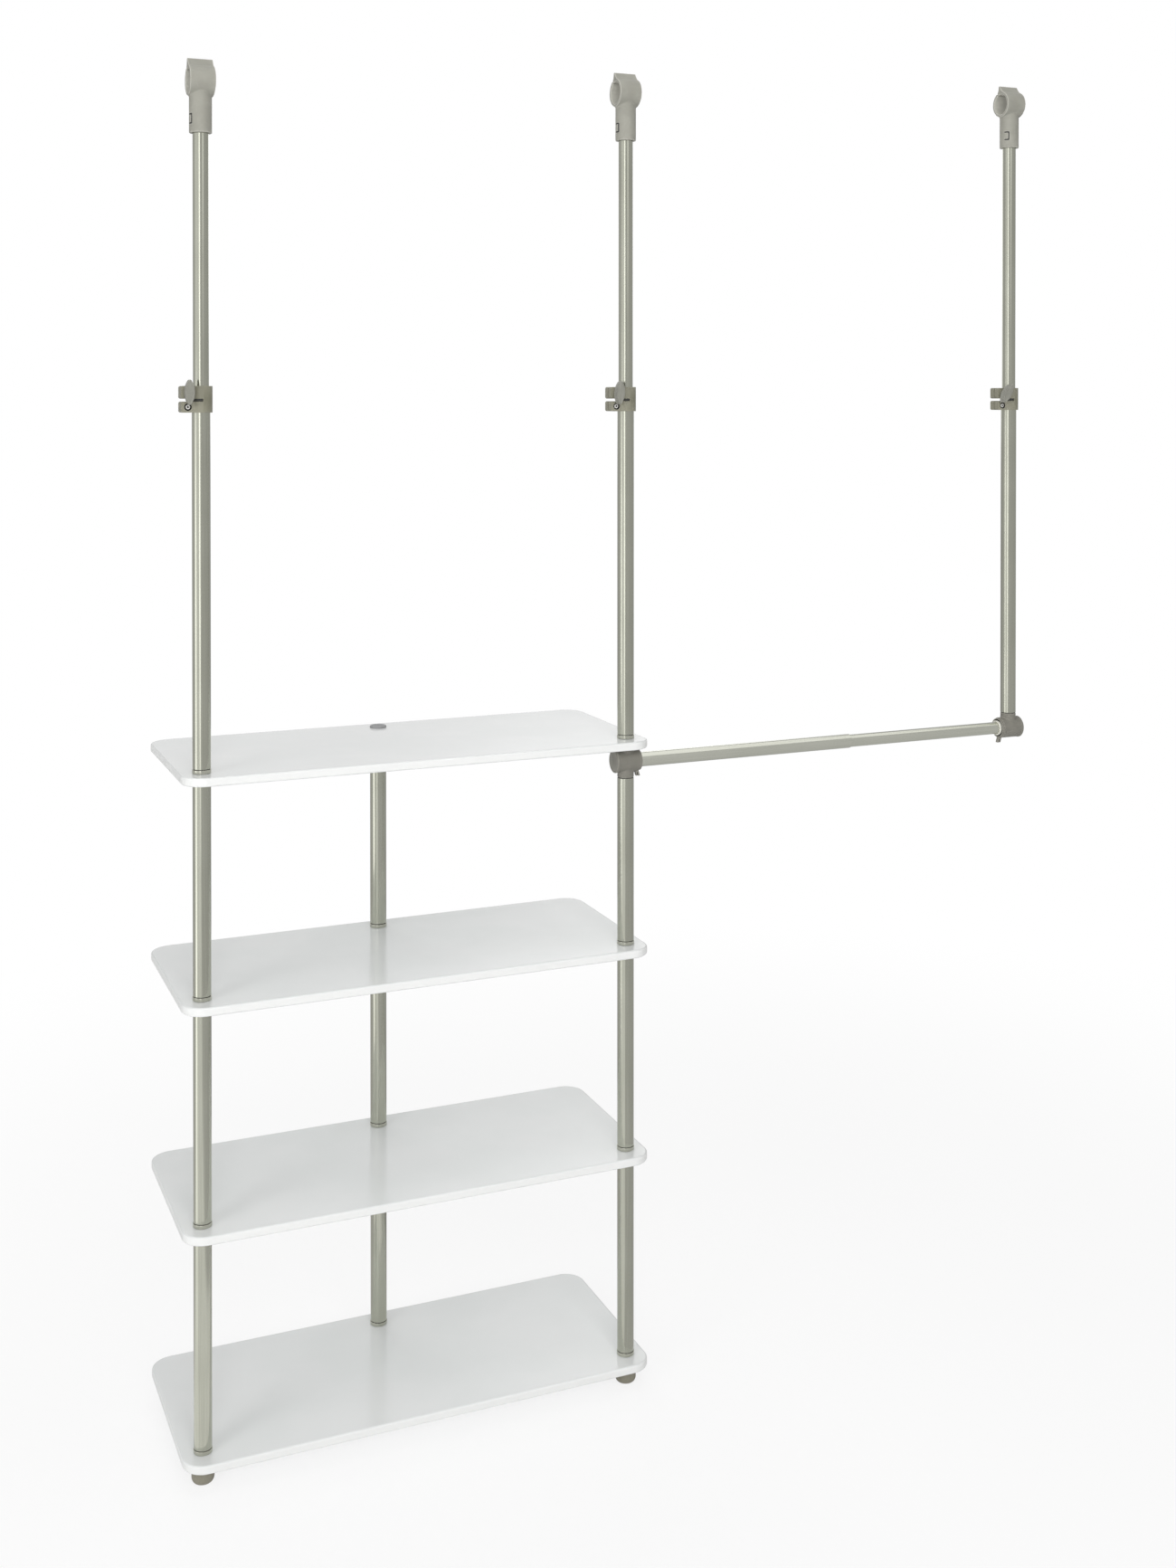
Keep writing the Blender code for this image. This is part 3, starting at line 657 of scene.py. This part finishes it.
def screwCut(radius, depth, height):     # hole from the ears' front face, with a small lead-in
    look = collarLook
    face = look["earHalf"]
    profile = [(0, face - depth), (radius, face - depth), (radius, face - look["lead"]),
               (radius + 2 * look["lead"], face + look["lead"]), (0, face + look["lead"])]
    cutter = turn(turnedShape(profile, steps=look["holeSteps"]), 90, "X")
    return shift(cutter, (-look["screwOffset"], 0, height))


def slotShadeSheet(low, high):                  # dark sheet behind the slot, round the half with the ears: painted shade over the tube seen through the slot
    look = collarLook
    start, stop = 180 - look["webSpan"], 180 + look["webSpan"]
    steps = look["arcSteps"]
    outline = arcPoints(look["webOut"], start, stop, steps) + arcPoints(look["webIn"], stop, start, steps)
    return withPaintedShade(pushedShape([(up, across, low) for across, up in outline], (0, 0, high - low)))


def makeCollar(node, pole):              # gives the height of the knob's axis
    look = collarLook
    low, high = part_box(node)
    reach = pole.x - low.x
    slotFoot = low.z + look["lowerEar"]
    shoulder = slotFoot + look["slot"]
    bm = merged(clampPrism(look["postBore"], reach, low.z, slotFoot),
                clampPrism(look["riserBore"], reach, shoulder, high.z))
    parted = [face for face in bm.faces if besideSlot(face.calc_center_median(), (slotFoot, shoulder))]
    rims = [edge for face in parted for edge in face.edges]
    bmesh.ops.delete(bm, geom=parted, context="FACES_ONLY")
    bmesh.ops.bridge_loops(bm, edges=rims)
    bmesh.ops.recalc_face_normals(bm, faces=bm.faces)
    soften(bm, look["earCorner"], look["cornerSteps"], pick=lambda edge: isEarEnd(edge, -reach))
    soften(bm, look["edge"], look["edgeSteps"], look["edgeAngle"])
    knobHeight = (shoulder + high.z) / 2
    screwHeight = (low.z + slotFoot) / 2
    cuts = [screwCut(look["knobHole"], look["holeDepth"], knobHeight),
            screwCut(look["headHole"], look["headDepth"], screwHeight),
            screwCut(look["screwHole"], look["holeDepth"], screwHeight)]
    # painted shade on the walls of the screw head's recess
    collar = withPaintedShade(combined(bm, cuts=cuts), lambda spot: inHeadHole(spot, screwHeight))
    addPiece(node, shift(merged(collar, slotShadeSheet(slotFoot, shoulder)), pole), collarPlastic)
    return knobHeight


knobLook = {
    "length": 0.0377, "width": 0.0130, "depth": 0.012, "back": 0.0164, "leafSteps": 14,
    "tip": 0.0034, "edge": 0.0020, "roundSteps": 4, "backEdge": 0.0005, "backSteps": 2,
    "boss": 0.0045, "shaft": 0.0024, "shaftBack": -0.0077, "screwSteps": 40,
    "turn": {"left": 0, "middle": 4, "right": 30},
}


def makeKnob(node, pole, height, degrees):       # leaf-shaped wing with its screw
    look = knobLook
    half = look["length"] / 2
    bulge = look["width"] / 2
    radius = (half ** 2 + bulge ** 2) / (2 * bulge)
    sweep = math.degrees(math.asin(half / radius))
    arc = arcPoints(radius, -sweep, sweep, look["leafSteps"])
    side = [(up - (radius - bulge), across) for across, up in arc]
    outline = side[:-1] + [(-across, -up) for across, up in side[:-1]]
    bm = pushedShape([(x, -look["back"], z) for x, z in outline], (0, -look["depth"], 0))
    middle = look["back"] + look["depth"] / 2
    soften(bm, look["tip"], look["roundSteps"],
           pick=lambda edge: abs(edge.verts[0].co.y - edge.verts[1].co.y) > look["depth"] / 2)
    soften(bm, look["edge"], look["roundSteps"], squareAngle,
           pick=lambda edge: all(vert.co.y < -middle for vert in edge.verts))
    soften(bm, look["backEdge"], look["backSteps"], squareAngle)
    bossFoot = collarLook["earHalf"] + fitGap
    profile = [(0, look["shaftBack"]), (look["shaft"], look["shaftBack"]), (look["shaft"], bossFoot),
               (look["boss"], bossFoot), (look["boss"], middle), (0, middle)]
    screw = turn(turnedShape(profile, steps=look["screwSteps"]), 90, "X")
    knob = turn(combined(bm, joins=[screw]), degrees, "Y")
    place = pole + Vector((-collarLook["screwOffset"], 0, height))
    addPiece(node, shift(knob, place), knobPlastic)


screwLook = {
    "head": 0.0032, "headHeight": 0.004, "sink": 0.0010, "shaft": 0.002, "back": -0.0077, "steps": 48,
    "key": 0.0015, "keyDepth": 0.0024, "keySides": 6, "edge": 0.0005,
}


def makeClampScrew(node, pole):          # socket-head screw, sunk in the lower ear
    look = screwLook
    low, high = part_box(node)
    top = collarLook["earHalf"] - look["sink"]
    foot = top - look["headHeight"]
    profile = [(0, look["back"]), (look["shaft"], look["back"]), (look["shaft"], foot), (look["head"], foot),
               (look["head"], top), (0, top)]
    bm = turnedShape(profile, steps=look["steps"])
    soften(bm, look["edge"], pick=lambda edge: isRim(edge, look["head"], [top, foot]))
    key = rodShape(look["key"], top - look["keyDepth"], top + look["sink"], look["keySides"])
    screw = combined(bm, cuts=[key])
    # painted shade in the screw's hex key hole
    withPaintedShade(screw, lambda spot: spot.xy.length < look["key"] and foot < spot.z < top - sameGap)
    place = ((low.x + high.x) / 2, pole.y, (low.z + high.z) / 2)
    addPiece(node, shift(turn(screw, 90, "X"), place), zincSteel)


risers = {side: axisOf(f"{side}_upper_tube") for side in riserSides}
for side, pole in risers.items():
    knobHeight = makeCollar(f"{side}_collar", pole)
    makeKnob(f"{side}_knob", pole, knobHeight, knobLook["turn"][side])
    makeClampScrew(f"{side}_clamp_screw", pole)
print("collars, knobs and screws made:", len(risers))


# rod clips

clipLook = {
    "bore": 0.017, "boreSteps": 96, "ring": 0.0215, "ringSteps": 56, "stem": 0.01575, "stemLength": 0.0515,
    "socket": 0.0113, "socketDepth": 0.0308, "socketPast": 0.002,
    "lipRoot": 25, "lipSetback": 0.0025, "lipThickness": 0.0032, "mouthFront": 26, "mouthBack": 31,
    "lipPull": (-0.0030, 0.0212), "lipSteps": 8, "lipBackPull": (0.0062, 0.0225), "lipBackSteps": 6,
    "tabLow": 0.012, "tabHigh": 0.0265, "tabWidth": 0.0085, "tabLine": 0.0018, "tabDeep": 0.0022,
    "tabFloor": 0.0001, "tabSteps": 12, "tabTurn": {"left": -75, "middle": -82, "right": -51},
    "voxel": 0.00055, "rounds": 5, "blendRounds": 8, "blendHalves": (0.0192, 0.0178, 0.0164),
    "rootBelow": 0.004, "rootAbove": 0.006, "boreSkin": 0.002, "socketSkin": 0.001, "rubDepth": 0.0010,
}


def curveThrough(first, pull, last, steps):      # points inside a quadratic curve between two points
    shares = [step / steps for step in range(1, steps)]
    return [tuple((1 - t) ** 2 * a + 2 * t * (1 - t) * b + t ** 2 * c for a, b, c in zip(first, pull, last))
            for t in shares]


def snapTabCut(turned):                          # bracket-shaped line round the snap tab on the socket
    look = clipLook
    half = look["tabWidth"] / 2
    line = look["tabLine"]
    low, high = look["tabLow"], look["tabHigh"]
    bracket = [(-half, low), (half, low), (half, high), (-half, high), (-half, high - line),
               (half - line, high - line), (half - line, low + line), (-half, low + line)]
    outer = look["stem"] + look["tabDeep"]
    cutter = pushedShape([(x, -outer, z) for x, z in bracket], (0, 2 * look["tabDeep"], 0))
    return turn(cutter, turned, "Z")


def bandShape(inner, outer, start, stop, low, high):        # part of a ring about Z; angles from the front
    steps = clipLook["tabSteps"]
    outline = arcPoints(outer, start, stop, steps) + arcPoints(inner, stop, start, steps)
    return pushedShape([(across, -up, low) for across, up in outline], (0, 0, high - low))


def snapTabShade(turned):                         # painted shade filling that line, as three dark bands round the socket
    look = clipLook
    half = math.degrees(look["tabWidth"] / 2 / look["stem"])
    line = math.degrees(look["tabLine"] / look["stem"])
    low, high = look["tabLow"], look["tabHigh"]
    bands = [(-half, half, low, low + look["tabLine"]), (-half, half, high - look["tabLine"], high),
             (half - line, half, low, high)]
    inner, outer = look["stem"] - look["tabDeep"], look["stem"] - look["tabFloor"]
    shells = [bandShape(inner, outer, *band) for band in bands]
    return withPaintedShade(turn(merged(*shells), turned, "Z"))


def isRoot(point, centre):                       # on the skin where the ring leaves the stem
    look = clipLook
    nearRoot = centre - look["ring"] - look["rootBelow"] < point.z < centre - look["bore"] + look["rootAbove"]
    outsideBore = math.hypot(point.y, point.z - centre) > look["bore"] + look["boreSkin"]
    return nearRoot and outsideBore and point.xy.length > look["socket"] + look["socketSkin"]


def makeClip(node, pole, tabTurn):               # ring with a mouth and a lip, on a socket for the inner tube
    look = clipLook
    low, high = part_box(node)
    half = (high.x - low.x) / 2
    centre = look["stemLength"] + look["ring"]   # the bore's axis, above the foot of the socket
    ring = arcPoints(look["ring"], look["mouthBack"], 360 - look["lipRoot"], look["ringSteps"])
    mouth = arcPoints(look["bore"] / 2, look["mouthFront"], look["mouthBack"], 1)
    tip = (look["lipSetback"], high.z - low.z - centre)
    backTip = (tip[0] + look["lipThickness"], tip[1])
    backRoot = arcPoints(look["ring"], look["mouthFront"], look["mouthBack"], 1)[0]
    lip = curveThrough(ring[-1], look["lipPull"], tip, look["lipSteps"])
    lipBack = curveThrough(backTip, look["lipBackPull"], backRoot, look["lipBackSteps"])
    profile = ring + lip + [tip, backTip] + lipBack + [backRoot] + mouth
    bm = pushedShape([(-half, across, centre + up) for across, up in profile], (2 * half, 0, 0))
    stem = rodShape(look["stem"], 0, centre - look["bore"] / 2)
    bore = turn(rodShape(look["bore"], -2 * half, 2 * half, look["boreSteps"]), 90, "Y")
    socket = rodShape(look["socket"], -look["socketPast"], look["socketDepth"])
    cuts = [shift(bore, (0, 0, centre)), socket, snapTabCut(tabTurn)]
    skin = mouldedSkin(combined(bm, joins=[stem], cuts=cuts), look["voxel"], look["rounds"])
    root = [vert for vert in skin.verts if isRoot(vert.co, centre)]
    for reach in look["blendHalves"]:
        settle(skin, [vert for vert in root if abs(vert.co.x) < reach], look["blendRounds"])
    clip = merged(skin, snapTabShade(tabTurn))

    def boreLightAndEdgeWear(vert):                          # the bore is painted pale, painted light lifting its shade; other edges rubbed
        away = math.hypot(vert.co.y - pole.y, vert.co.z - low.z - centre)
        return 1.0 if away < look["bore"] + look["rubDepth"] else edgeWear(vert)

    addPiece(node, shift(clip, pole + Vector((0, 0, low.z))), clipPlastic, boreLightAndEdgeWear)


for side, pole in risers.items():
    makeClip(f"{side}_rod_clip", pole, clipLook["tabTurn"][side])
print("clips made:", len(risers))


# tee, elbow and bush of the hang rod

fittingLook = {
    "barrel": 0.0171, "rim": 0.0177, "rimLength": 0.0035, "rimChamfer": 0.0012, "rimStep": 0.0004,
    "closedReach": 0.0205, "mouthReach": 0.0220, "stepLength": 0.003, "mouthRim": 0.0159, "mouthBore": 0.0141,
    "mouthLap": 0.001, "hollowRise": 0.0003, "socket": 0.0114, "socketFloor": 0.0068, "socketPast": 0.002,
    "neck": 0.0127, "neckReach": 0.0255, "neckGap": 0.0009, "neckCore": 0.0121, "coreLap": 0.0002,
    "coreDrop": 0.0004, "spigot": 0.0114, "spigotReach": 0.0455,
    "discRadius": 0.0148, "discGap": 0.0005, "discDepth": 0.0012, "discSink": 0.0004, "discEdgeSteps": 2,
    "steps": 96, "edge": 0.0004, "voxel": 0.0005, "rounds": 4, "blendRounds": 40,
    "saddleOut": 0.005, "saddleSkin": 0.002, "saddleLow": 0.006, "saddleDrop": 0.003, "saddleHalf": 0.0175,
}
releaseTabLook = {
    "width": 0.0056, "length": 0.0062, "drop": 0.0075, "slant": 0.003, "inset": 0.0015, "root": 0.0028,
    "slitHalf": 0.0008, "slitHeight": 0.0055, "slitPast": 0.001, "edge": 0.0005, "edgeSteps": 2,
}


def releaseTab(mouth):                           # slanted tab with a slit, below the barrel's mouth
    look = releaseTabLook
    start = fittingLook["mouthReach"] - look["inset"] - look["length"]
    end = start + look["length"]
    root = look["root"] - fittingLook["barrel"]
    foot = -fittingLook["barrel"] - look["drop"]
    outline = [(start, root), (end, root), (end + look["slant"], foot), (start + look["slant"], foot)]
    half = look["width"] / 2
    tab = pushedShape([(mouth * along, -half, up) for along, up in outline], (0, look["width"], 0))
    middle = mouth * (start + look["length"] / 2 + look["slant"] / 2)
    past = look["slitPast"]
    slit = boxShape((middle - look["slitHalf"], -half - past, foot - past),
                    (middle + look["slitHalf"], half + past, foot + look["slitHeight"]))
    return soften(combined(tab, cuts=[slit]), look["edge"], look["edgeSteps"])


def isSaddle(point, neck):                       # where the neck leaves the barrel
    look = fittingLook
    nearNeck = point.xy.length < look["neck"] + look["saddleOut"] and abs(point.x) < look["saddleHalf"]
    clearOfSocket = math.hypot(point.y, point.z) > look["socket"] + look["saddleSkin"]
    top = look["neckReach"] - look["saddleDrop"]
    return nearNeck and clearOfSocket and look["saddleLow"] < neck * point.z < top


def makeFitting(node, pole, rodHeight, mouth, neck, seat):  # mouth along X and neck along Z, each 1 or -1
    look = fittingLook
    closed = -look["closedReach"]
    reach = look["mouthReach"]
    bodyEnd = reach - look["stepLength"]
    lapped = bodyEnd - look["mouthLap"]
    neckEnd = look["neckReach"] - look["neckGap"]
    rimEnd = closed + look["rimLength"]
    wellFloor = closed + look["discDepth"]
    well = look["discRadius"] + look["discGap"]
    barrel = [(0, wellFloor), (well, wellFloor), (well, closed), (look["rim"] - look["rimChamfer"], closed),
              (look["rim"], closed + look["rimChamfer"]), (look["rim"], rimEnd),
              (look["barrel"], rimEnd + look["rimStep"]), (look["barrel"], bodyEnd), (0, bodyEnd)]
    lying = turn(turnedShape(barrel, steps=look["steps"]), 90 * mouth, "Y")
    stem = [(0, -seat), (look["neck"], -seat), (look["neck"], neckEnd), (look["spigot"], neckEnd),
            (look["spigot"], look["spigotReach"]), (0, look["spigotReach"])]
    upright = turnedShape([(radius, neck * height) for radius, height in stem])
    socket = turn(rodShape(look["socket"], look["socketFloor"], reach + look["socketPast"]), 90 * mouth, "Y")
    skin = mouldedSkin(combined(lying, joins=[upright], cuts=[socket]), look["voxel"], look["rounds"])
    settle(skin, [vert for vert in skin.verts if isSaddle(vert.co, neck)], look["blendRounds"])
    disc = rodShape(look["discRadius"], closed + look["discSink"], closed + 2 * look["discDepth"])
    soften(disc, look["edge"], look["discEdgeSteps"])
    rim = soften(ringShape(look["mouthBore"], look["mouthRim"], lapped, reach, look["steps"]), look["edge"])
    # painted shade: dark rings in the mouth's hollow and in the gap at the neck's end
    hollow = ringShape(look["socket"], look["mouthBore"], lapped, bodyEnd + look["hollowRise"], look["steps"])
    core = ringShape(look["spigot"] - look["coreLap"], look["neckCore"], neckEnd - look["coreDrop"],
                     look["neckReach"], look["steps"])
    lyingShells = [turn(shell, 90 * mouth, "Y") for shell in (disc, rim, withPaintedShade(hollow))]
    shape = merged(skin, *lyingShells, turn(withPaintedShade(core), 90 - 90 * neck, "X"), releaseTab(mouth))
    addPiece(node, shift(shape, pole + Vector((0, 0, rodHeight))), fittingPlastic)


bushLook = {
    "bore": 0.0102, "sleeve": 0.0111, "flange": 0.0123, "flangeLength": 0.0028,
    "edge": 0.0008, "edgeSteps": 4,
}


def makeBush(node, rodHeight):                   # pale sleeve round the thin rod, with a flange at the mouth
    look = bushLook
    low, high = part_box(node)
    flangeEnd = low.x + look["flangeLength"]
    profile = [(look["bore"], low.x), (look["flange"], low.x), (look["flange"], flangeEnd),
               (look["sleeve"], flangeEnd), (look["sleeve"], high.x), (look["bore"], high.x)]
    bm = turnedShape(profile, closed=True)
    soften(bm, look["edge"], look["edgeSteps"], pick=lambda edge: isRim(edge, look["flange"], [low.x]))
    addPiece(node, shift(turn(bm, 90, "Y"), (0, (low.y + high.y) / 2, rodHeight)), palePlastic)


rodLow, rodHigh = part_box("hang_rod_outer")
rodMiddle = (rodLow.z + rodHigh.z) / 2
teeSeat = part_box("shelf_top")[0].z - fitGap - rodMiddle
makeFitting("rod_tee", risers["middle"], rodMiddle, mouth=1, neck=-1, seat=teeSeat)
makeFitting("rod_elbow", risers["right"], rodMiddle, mouth=-1, neck=1, seat=0)
makeBush("rod_bush", rodMiddle)
print("hang rod fittings made")


# inserts stay as the frame has them, inside the posts

inserts = [node for node in frame["nodes"] if "_insert_" in node]
for node in inserts:
    frame["nodes"][node].data.materials.clear()
    frame["nodes"][node].data.materials.append(insertPlastic)
print("inserts dressed:", len(inserts))


# studio

white = (1, 1, 1, 1)
floorLook = {            # near and far are metres from the organizer's middle
    "half": 30.0, "parts": 4, "drop": 0.0002, "colour": (0.93, 0.93, 0.93, 1),
    "fleckColour": (0.945, 0.945, 0.945, 1), "fleck": (60.0, 3.0), "roughness": 0.9, "specular": 0.1,
    "near": 0.7, "far": 2.4, "nearWhite": 0.80,
}
worldLook = {"fill": 0.40}


def seenDirectly(wire):                          # 1 for what the camera or a reflection sees
    camera, glossy, through = [wire.node("ShaderNodeLightPath", outlet=name)
                               for name in ("Is Camera Ray", "Is Glossy Ray", "Is Transmission Ray")]
    clamped = {"operation": "ADD", "use_clamp": True}
    return wire.node("ShaderNodeMath", clamped, {0: camera + glossy, 1: through})


def makeFloor():                                 # white far out, with the organizer's soft shadow near it
    look = floorLook
    bm = bmesh.new()
    bmesh.ops.create_grid(bm, x_segments=look["parts"], y_segments=look["parts"], size=look["half"])
    floor = meshObject(shift(bm, (0, 0, -look["drop"])), "floor")
    finish = Finish("paleFloor", Roughness=look["roughness"], Specular_IOR_Level=look["specular"])
    finish.feed(Base_Color=finish.spot.noise(*look["fleck"]).blend(look["colour"], look["fleckColour"]))
    away = finish.spot.fromPlace(boxMiddle)
    distance = finish.wire.node("ShaderNodeVectorMath", {"operation": "LENGTH"}, {0: away}, outlet="Value")
    share = distance.ramp(look["near"], look["far"], look["nearWhite"]) * seenDirectly(finish.wire)
    glow = finish.wire.node("ShaderNodeEmission", None, {"Color": white, "Strength": 1.0})
    shaded = Wire(finish.tree, finish.shader.outputs["BSDF"])
    mixed = finish.wire.node("ShaderNodeMixShader", None, {0: share, 1: shaded, 2: glow})
    finish.tree.links.new(mixed.socket, finish.tree.nodes["Material Output"].inputs["Surface"])
    floor.data.materials.append(finish.material)


def makeWorld():                                 # white to the eye, a plain fill for matt surfaces
    world = bpy.data.worlds.new("studio")
    world.use_nodes = True
    bpy.context.scene.world = world
    seen = seenDirectly(Wire(world.node_tree))
    strength = seen + worldLook["fill"] * (1 - seen)
    backdrop = world.node_tree.nodes["Background"]
    backdrop.inputs["Color"].default_value = white
    world.node_tree.links.new(strength.socket, backdrop.inputs["Strength"])


lampPlan = {             # place, what it points at, width and height, watts
    "leftSoftbox": ((-4.3, -3.0, 2.2), (0.6, 0.0, 1.2), (2.0, 2.4), 80),
    "frontSoftbox": ((-0.4, -4.4, 2.7), (0.6, 0.1, 0.9), (2.6, 1.8), 100),
    "topSoftbox": ((0.5, -0.4, 4.2), (0.5, 0.0, 0.6), (2.6, 1.8), 20),
    "backSoftbox": ((0.4, 3.0, 2.6), (0.4, 0.1, 0.6), (2.4, 1.2), 22),
}


def facing(place, target):                       # turns a lamp at a place to its target
    return (Vector(target) - Vector(place)).to_track_quat("-Z", "Y").to_matrix().to_4x4()


def makeLamps():
    for name, (place, target, size, watts) in lampPlan.items():
        lamp = bpy.data.lights.new(name, "AREA")
        lamp.shape = "RECTANGLE"
        lamp.size, lamp.size_y = size
        lamp.energy = watts
        holder = bpy.data.objects.new(name, lamp)
        holder.matrix_world = Matrix.Translation(place) @ facing(place, target)
        holder.visible_glossy = False            # reflections come from the shell's panels
        bpy.context.scene.collection.objects.link(holder)


shellLook = {            # walls that metal and gloss reflect; angles are degrees to the left of the front
    "radius": 3.6, "height": 4.5, "lift": 0.003, "floorSlope": 0.4,
    "dark": 0.31, "slopes": ((-165, -110, 0.18), (-110, 20, 0.08), (115, 170, -0.12)),
}
shellPanels = {          # degrees and metres where each starts, is full, eases off and stops; its gain
    "broadLeft": ((24, 33, 92, 106), (-9, -8, 8, 9), 0.32),
    "lowLeft": ((74, 80, 87, 94), (-1.3, -0.2, 1.2, 1.7), 1.2),
    "nearFront": ((30, 35, 41, 46), (-0.1, 0.9, 8, 9), 1.4),
    "highFront": ((-22, -14, -6, 2), (1.5, 2.5, 8, 9), 0.7),
    "rightRear": ((-200, -190, -152, -140), (1.2, 1.5, 2.6, 3.0), 0.62),
    "leftRear": ((160, 172, 190, 200), (1.2, 1.5, 2.6, 3.0), 0.50),
    "farRight": ((-171, -152, -148, -136), (1.55, 2.0, 2.6, 3.0), 1.1),
}


def window(wire, start, full, ease, stop):       # 1 between full and ease, 0 outside start and stop
    return wire.ramp(start, full) * (1 - wire.ramp(ease, stop))


def makeShell():                                 # seen by glossy rays alone
    look = shellLook
    profile = [(0, look["lift"]), (look["radius"], look["lift"]), (look["radius"], look["height"])]
    shell = meshObject(shift(turnedShape(profile), (boxMiddle.x, boxMiddle.y, 0)), "studioShell")
    for rays in ("camera", "diffuse", "transmission", "volume_scatter", "shadow"):
        setattr(shell, f"visible_{rays}", False)
    finish = Finish("studioShell", Base_Color=(0, 0, 0, 1), Roughness=1.0, Specular_IOR_Level=0.0,
                    Emission_Strength=1.0)
    away = finish.spot.fromPlace(boxMiddle)
    across, deep, up = [away.part(axis) for axis in "XYZ"]
    angle = math.degrees(1) * finish.wire.maths("ARCTAN2", 0 - across, 0 - deep)
    reach = finish.wire.maths("POWER", across * across + deep * deep, 0.5)
    height = up + look["floorSlope"] * (reach - look["radius"])       # the floor counts as below the wall
    level = look["dark"]
    for start, stop, gain in look["slopes"]:
        level = level + angle.ramp(start, stop, 0.0, gain)
    for sideways, upwards, gain in shellPanels.values():
        level = level + gain * window(angle, *sideways) * window(height, *upwards)
    shell.data.materials.append(finish.feed(Emission_Color=level))


cameraLook = {
    "place": (-0.4788, -2.4925, 1.5181), "yaw": 23.153, "pitch": 0.5,
    "lens": 40.827, "shiftUp": -0.2366, "sensorHeight": 36.0, "sensorWidth": 27.0,
}


def makeCamera():
    look = cameraLook
    lens = bpy.data.cameras.new("viewpoint")
    lens.sensor_fit = "VERTICAL"
    lens.sensor_height = look["sensorHeight"]
    lens.sensor_width = look["sensorWidth"]
    lens.lens = look["lens"]
    lens.shift_y = look["shiftUp"]
    holder = bpy.data.objects.new("viewpoint", lens)
    holder.location = look["place"]
    holder.rotation_euler = (math.radians(90 - look["pitch"]), 0, -math.radians(look["yaw"]))
    bpy.context.scene.collection.objects.link(holder)
    bpy.context.scene.camera = holder


makeFloor()
makeWorld()
makeLamps()
makeShell()
makeCamera()
bpy.context.scene.view_settings.view_transform = "Standard"
print("studio made")
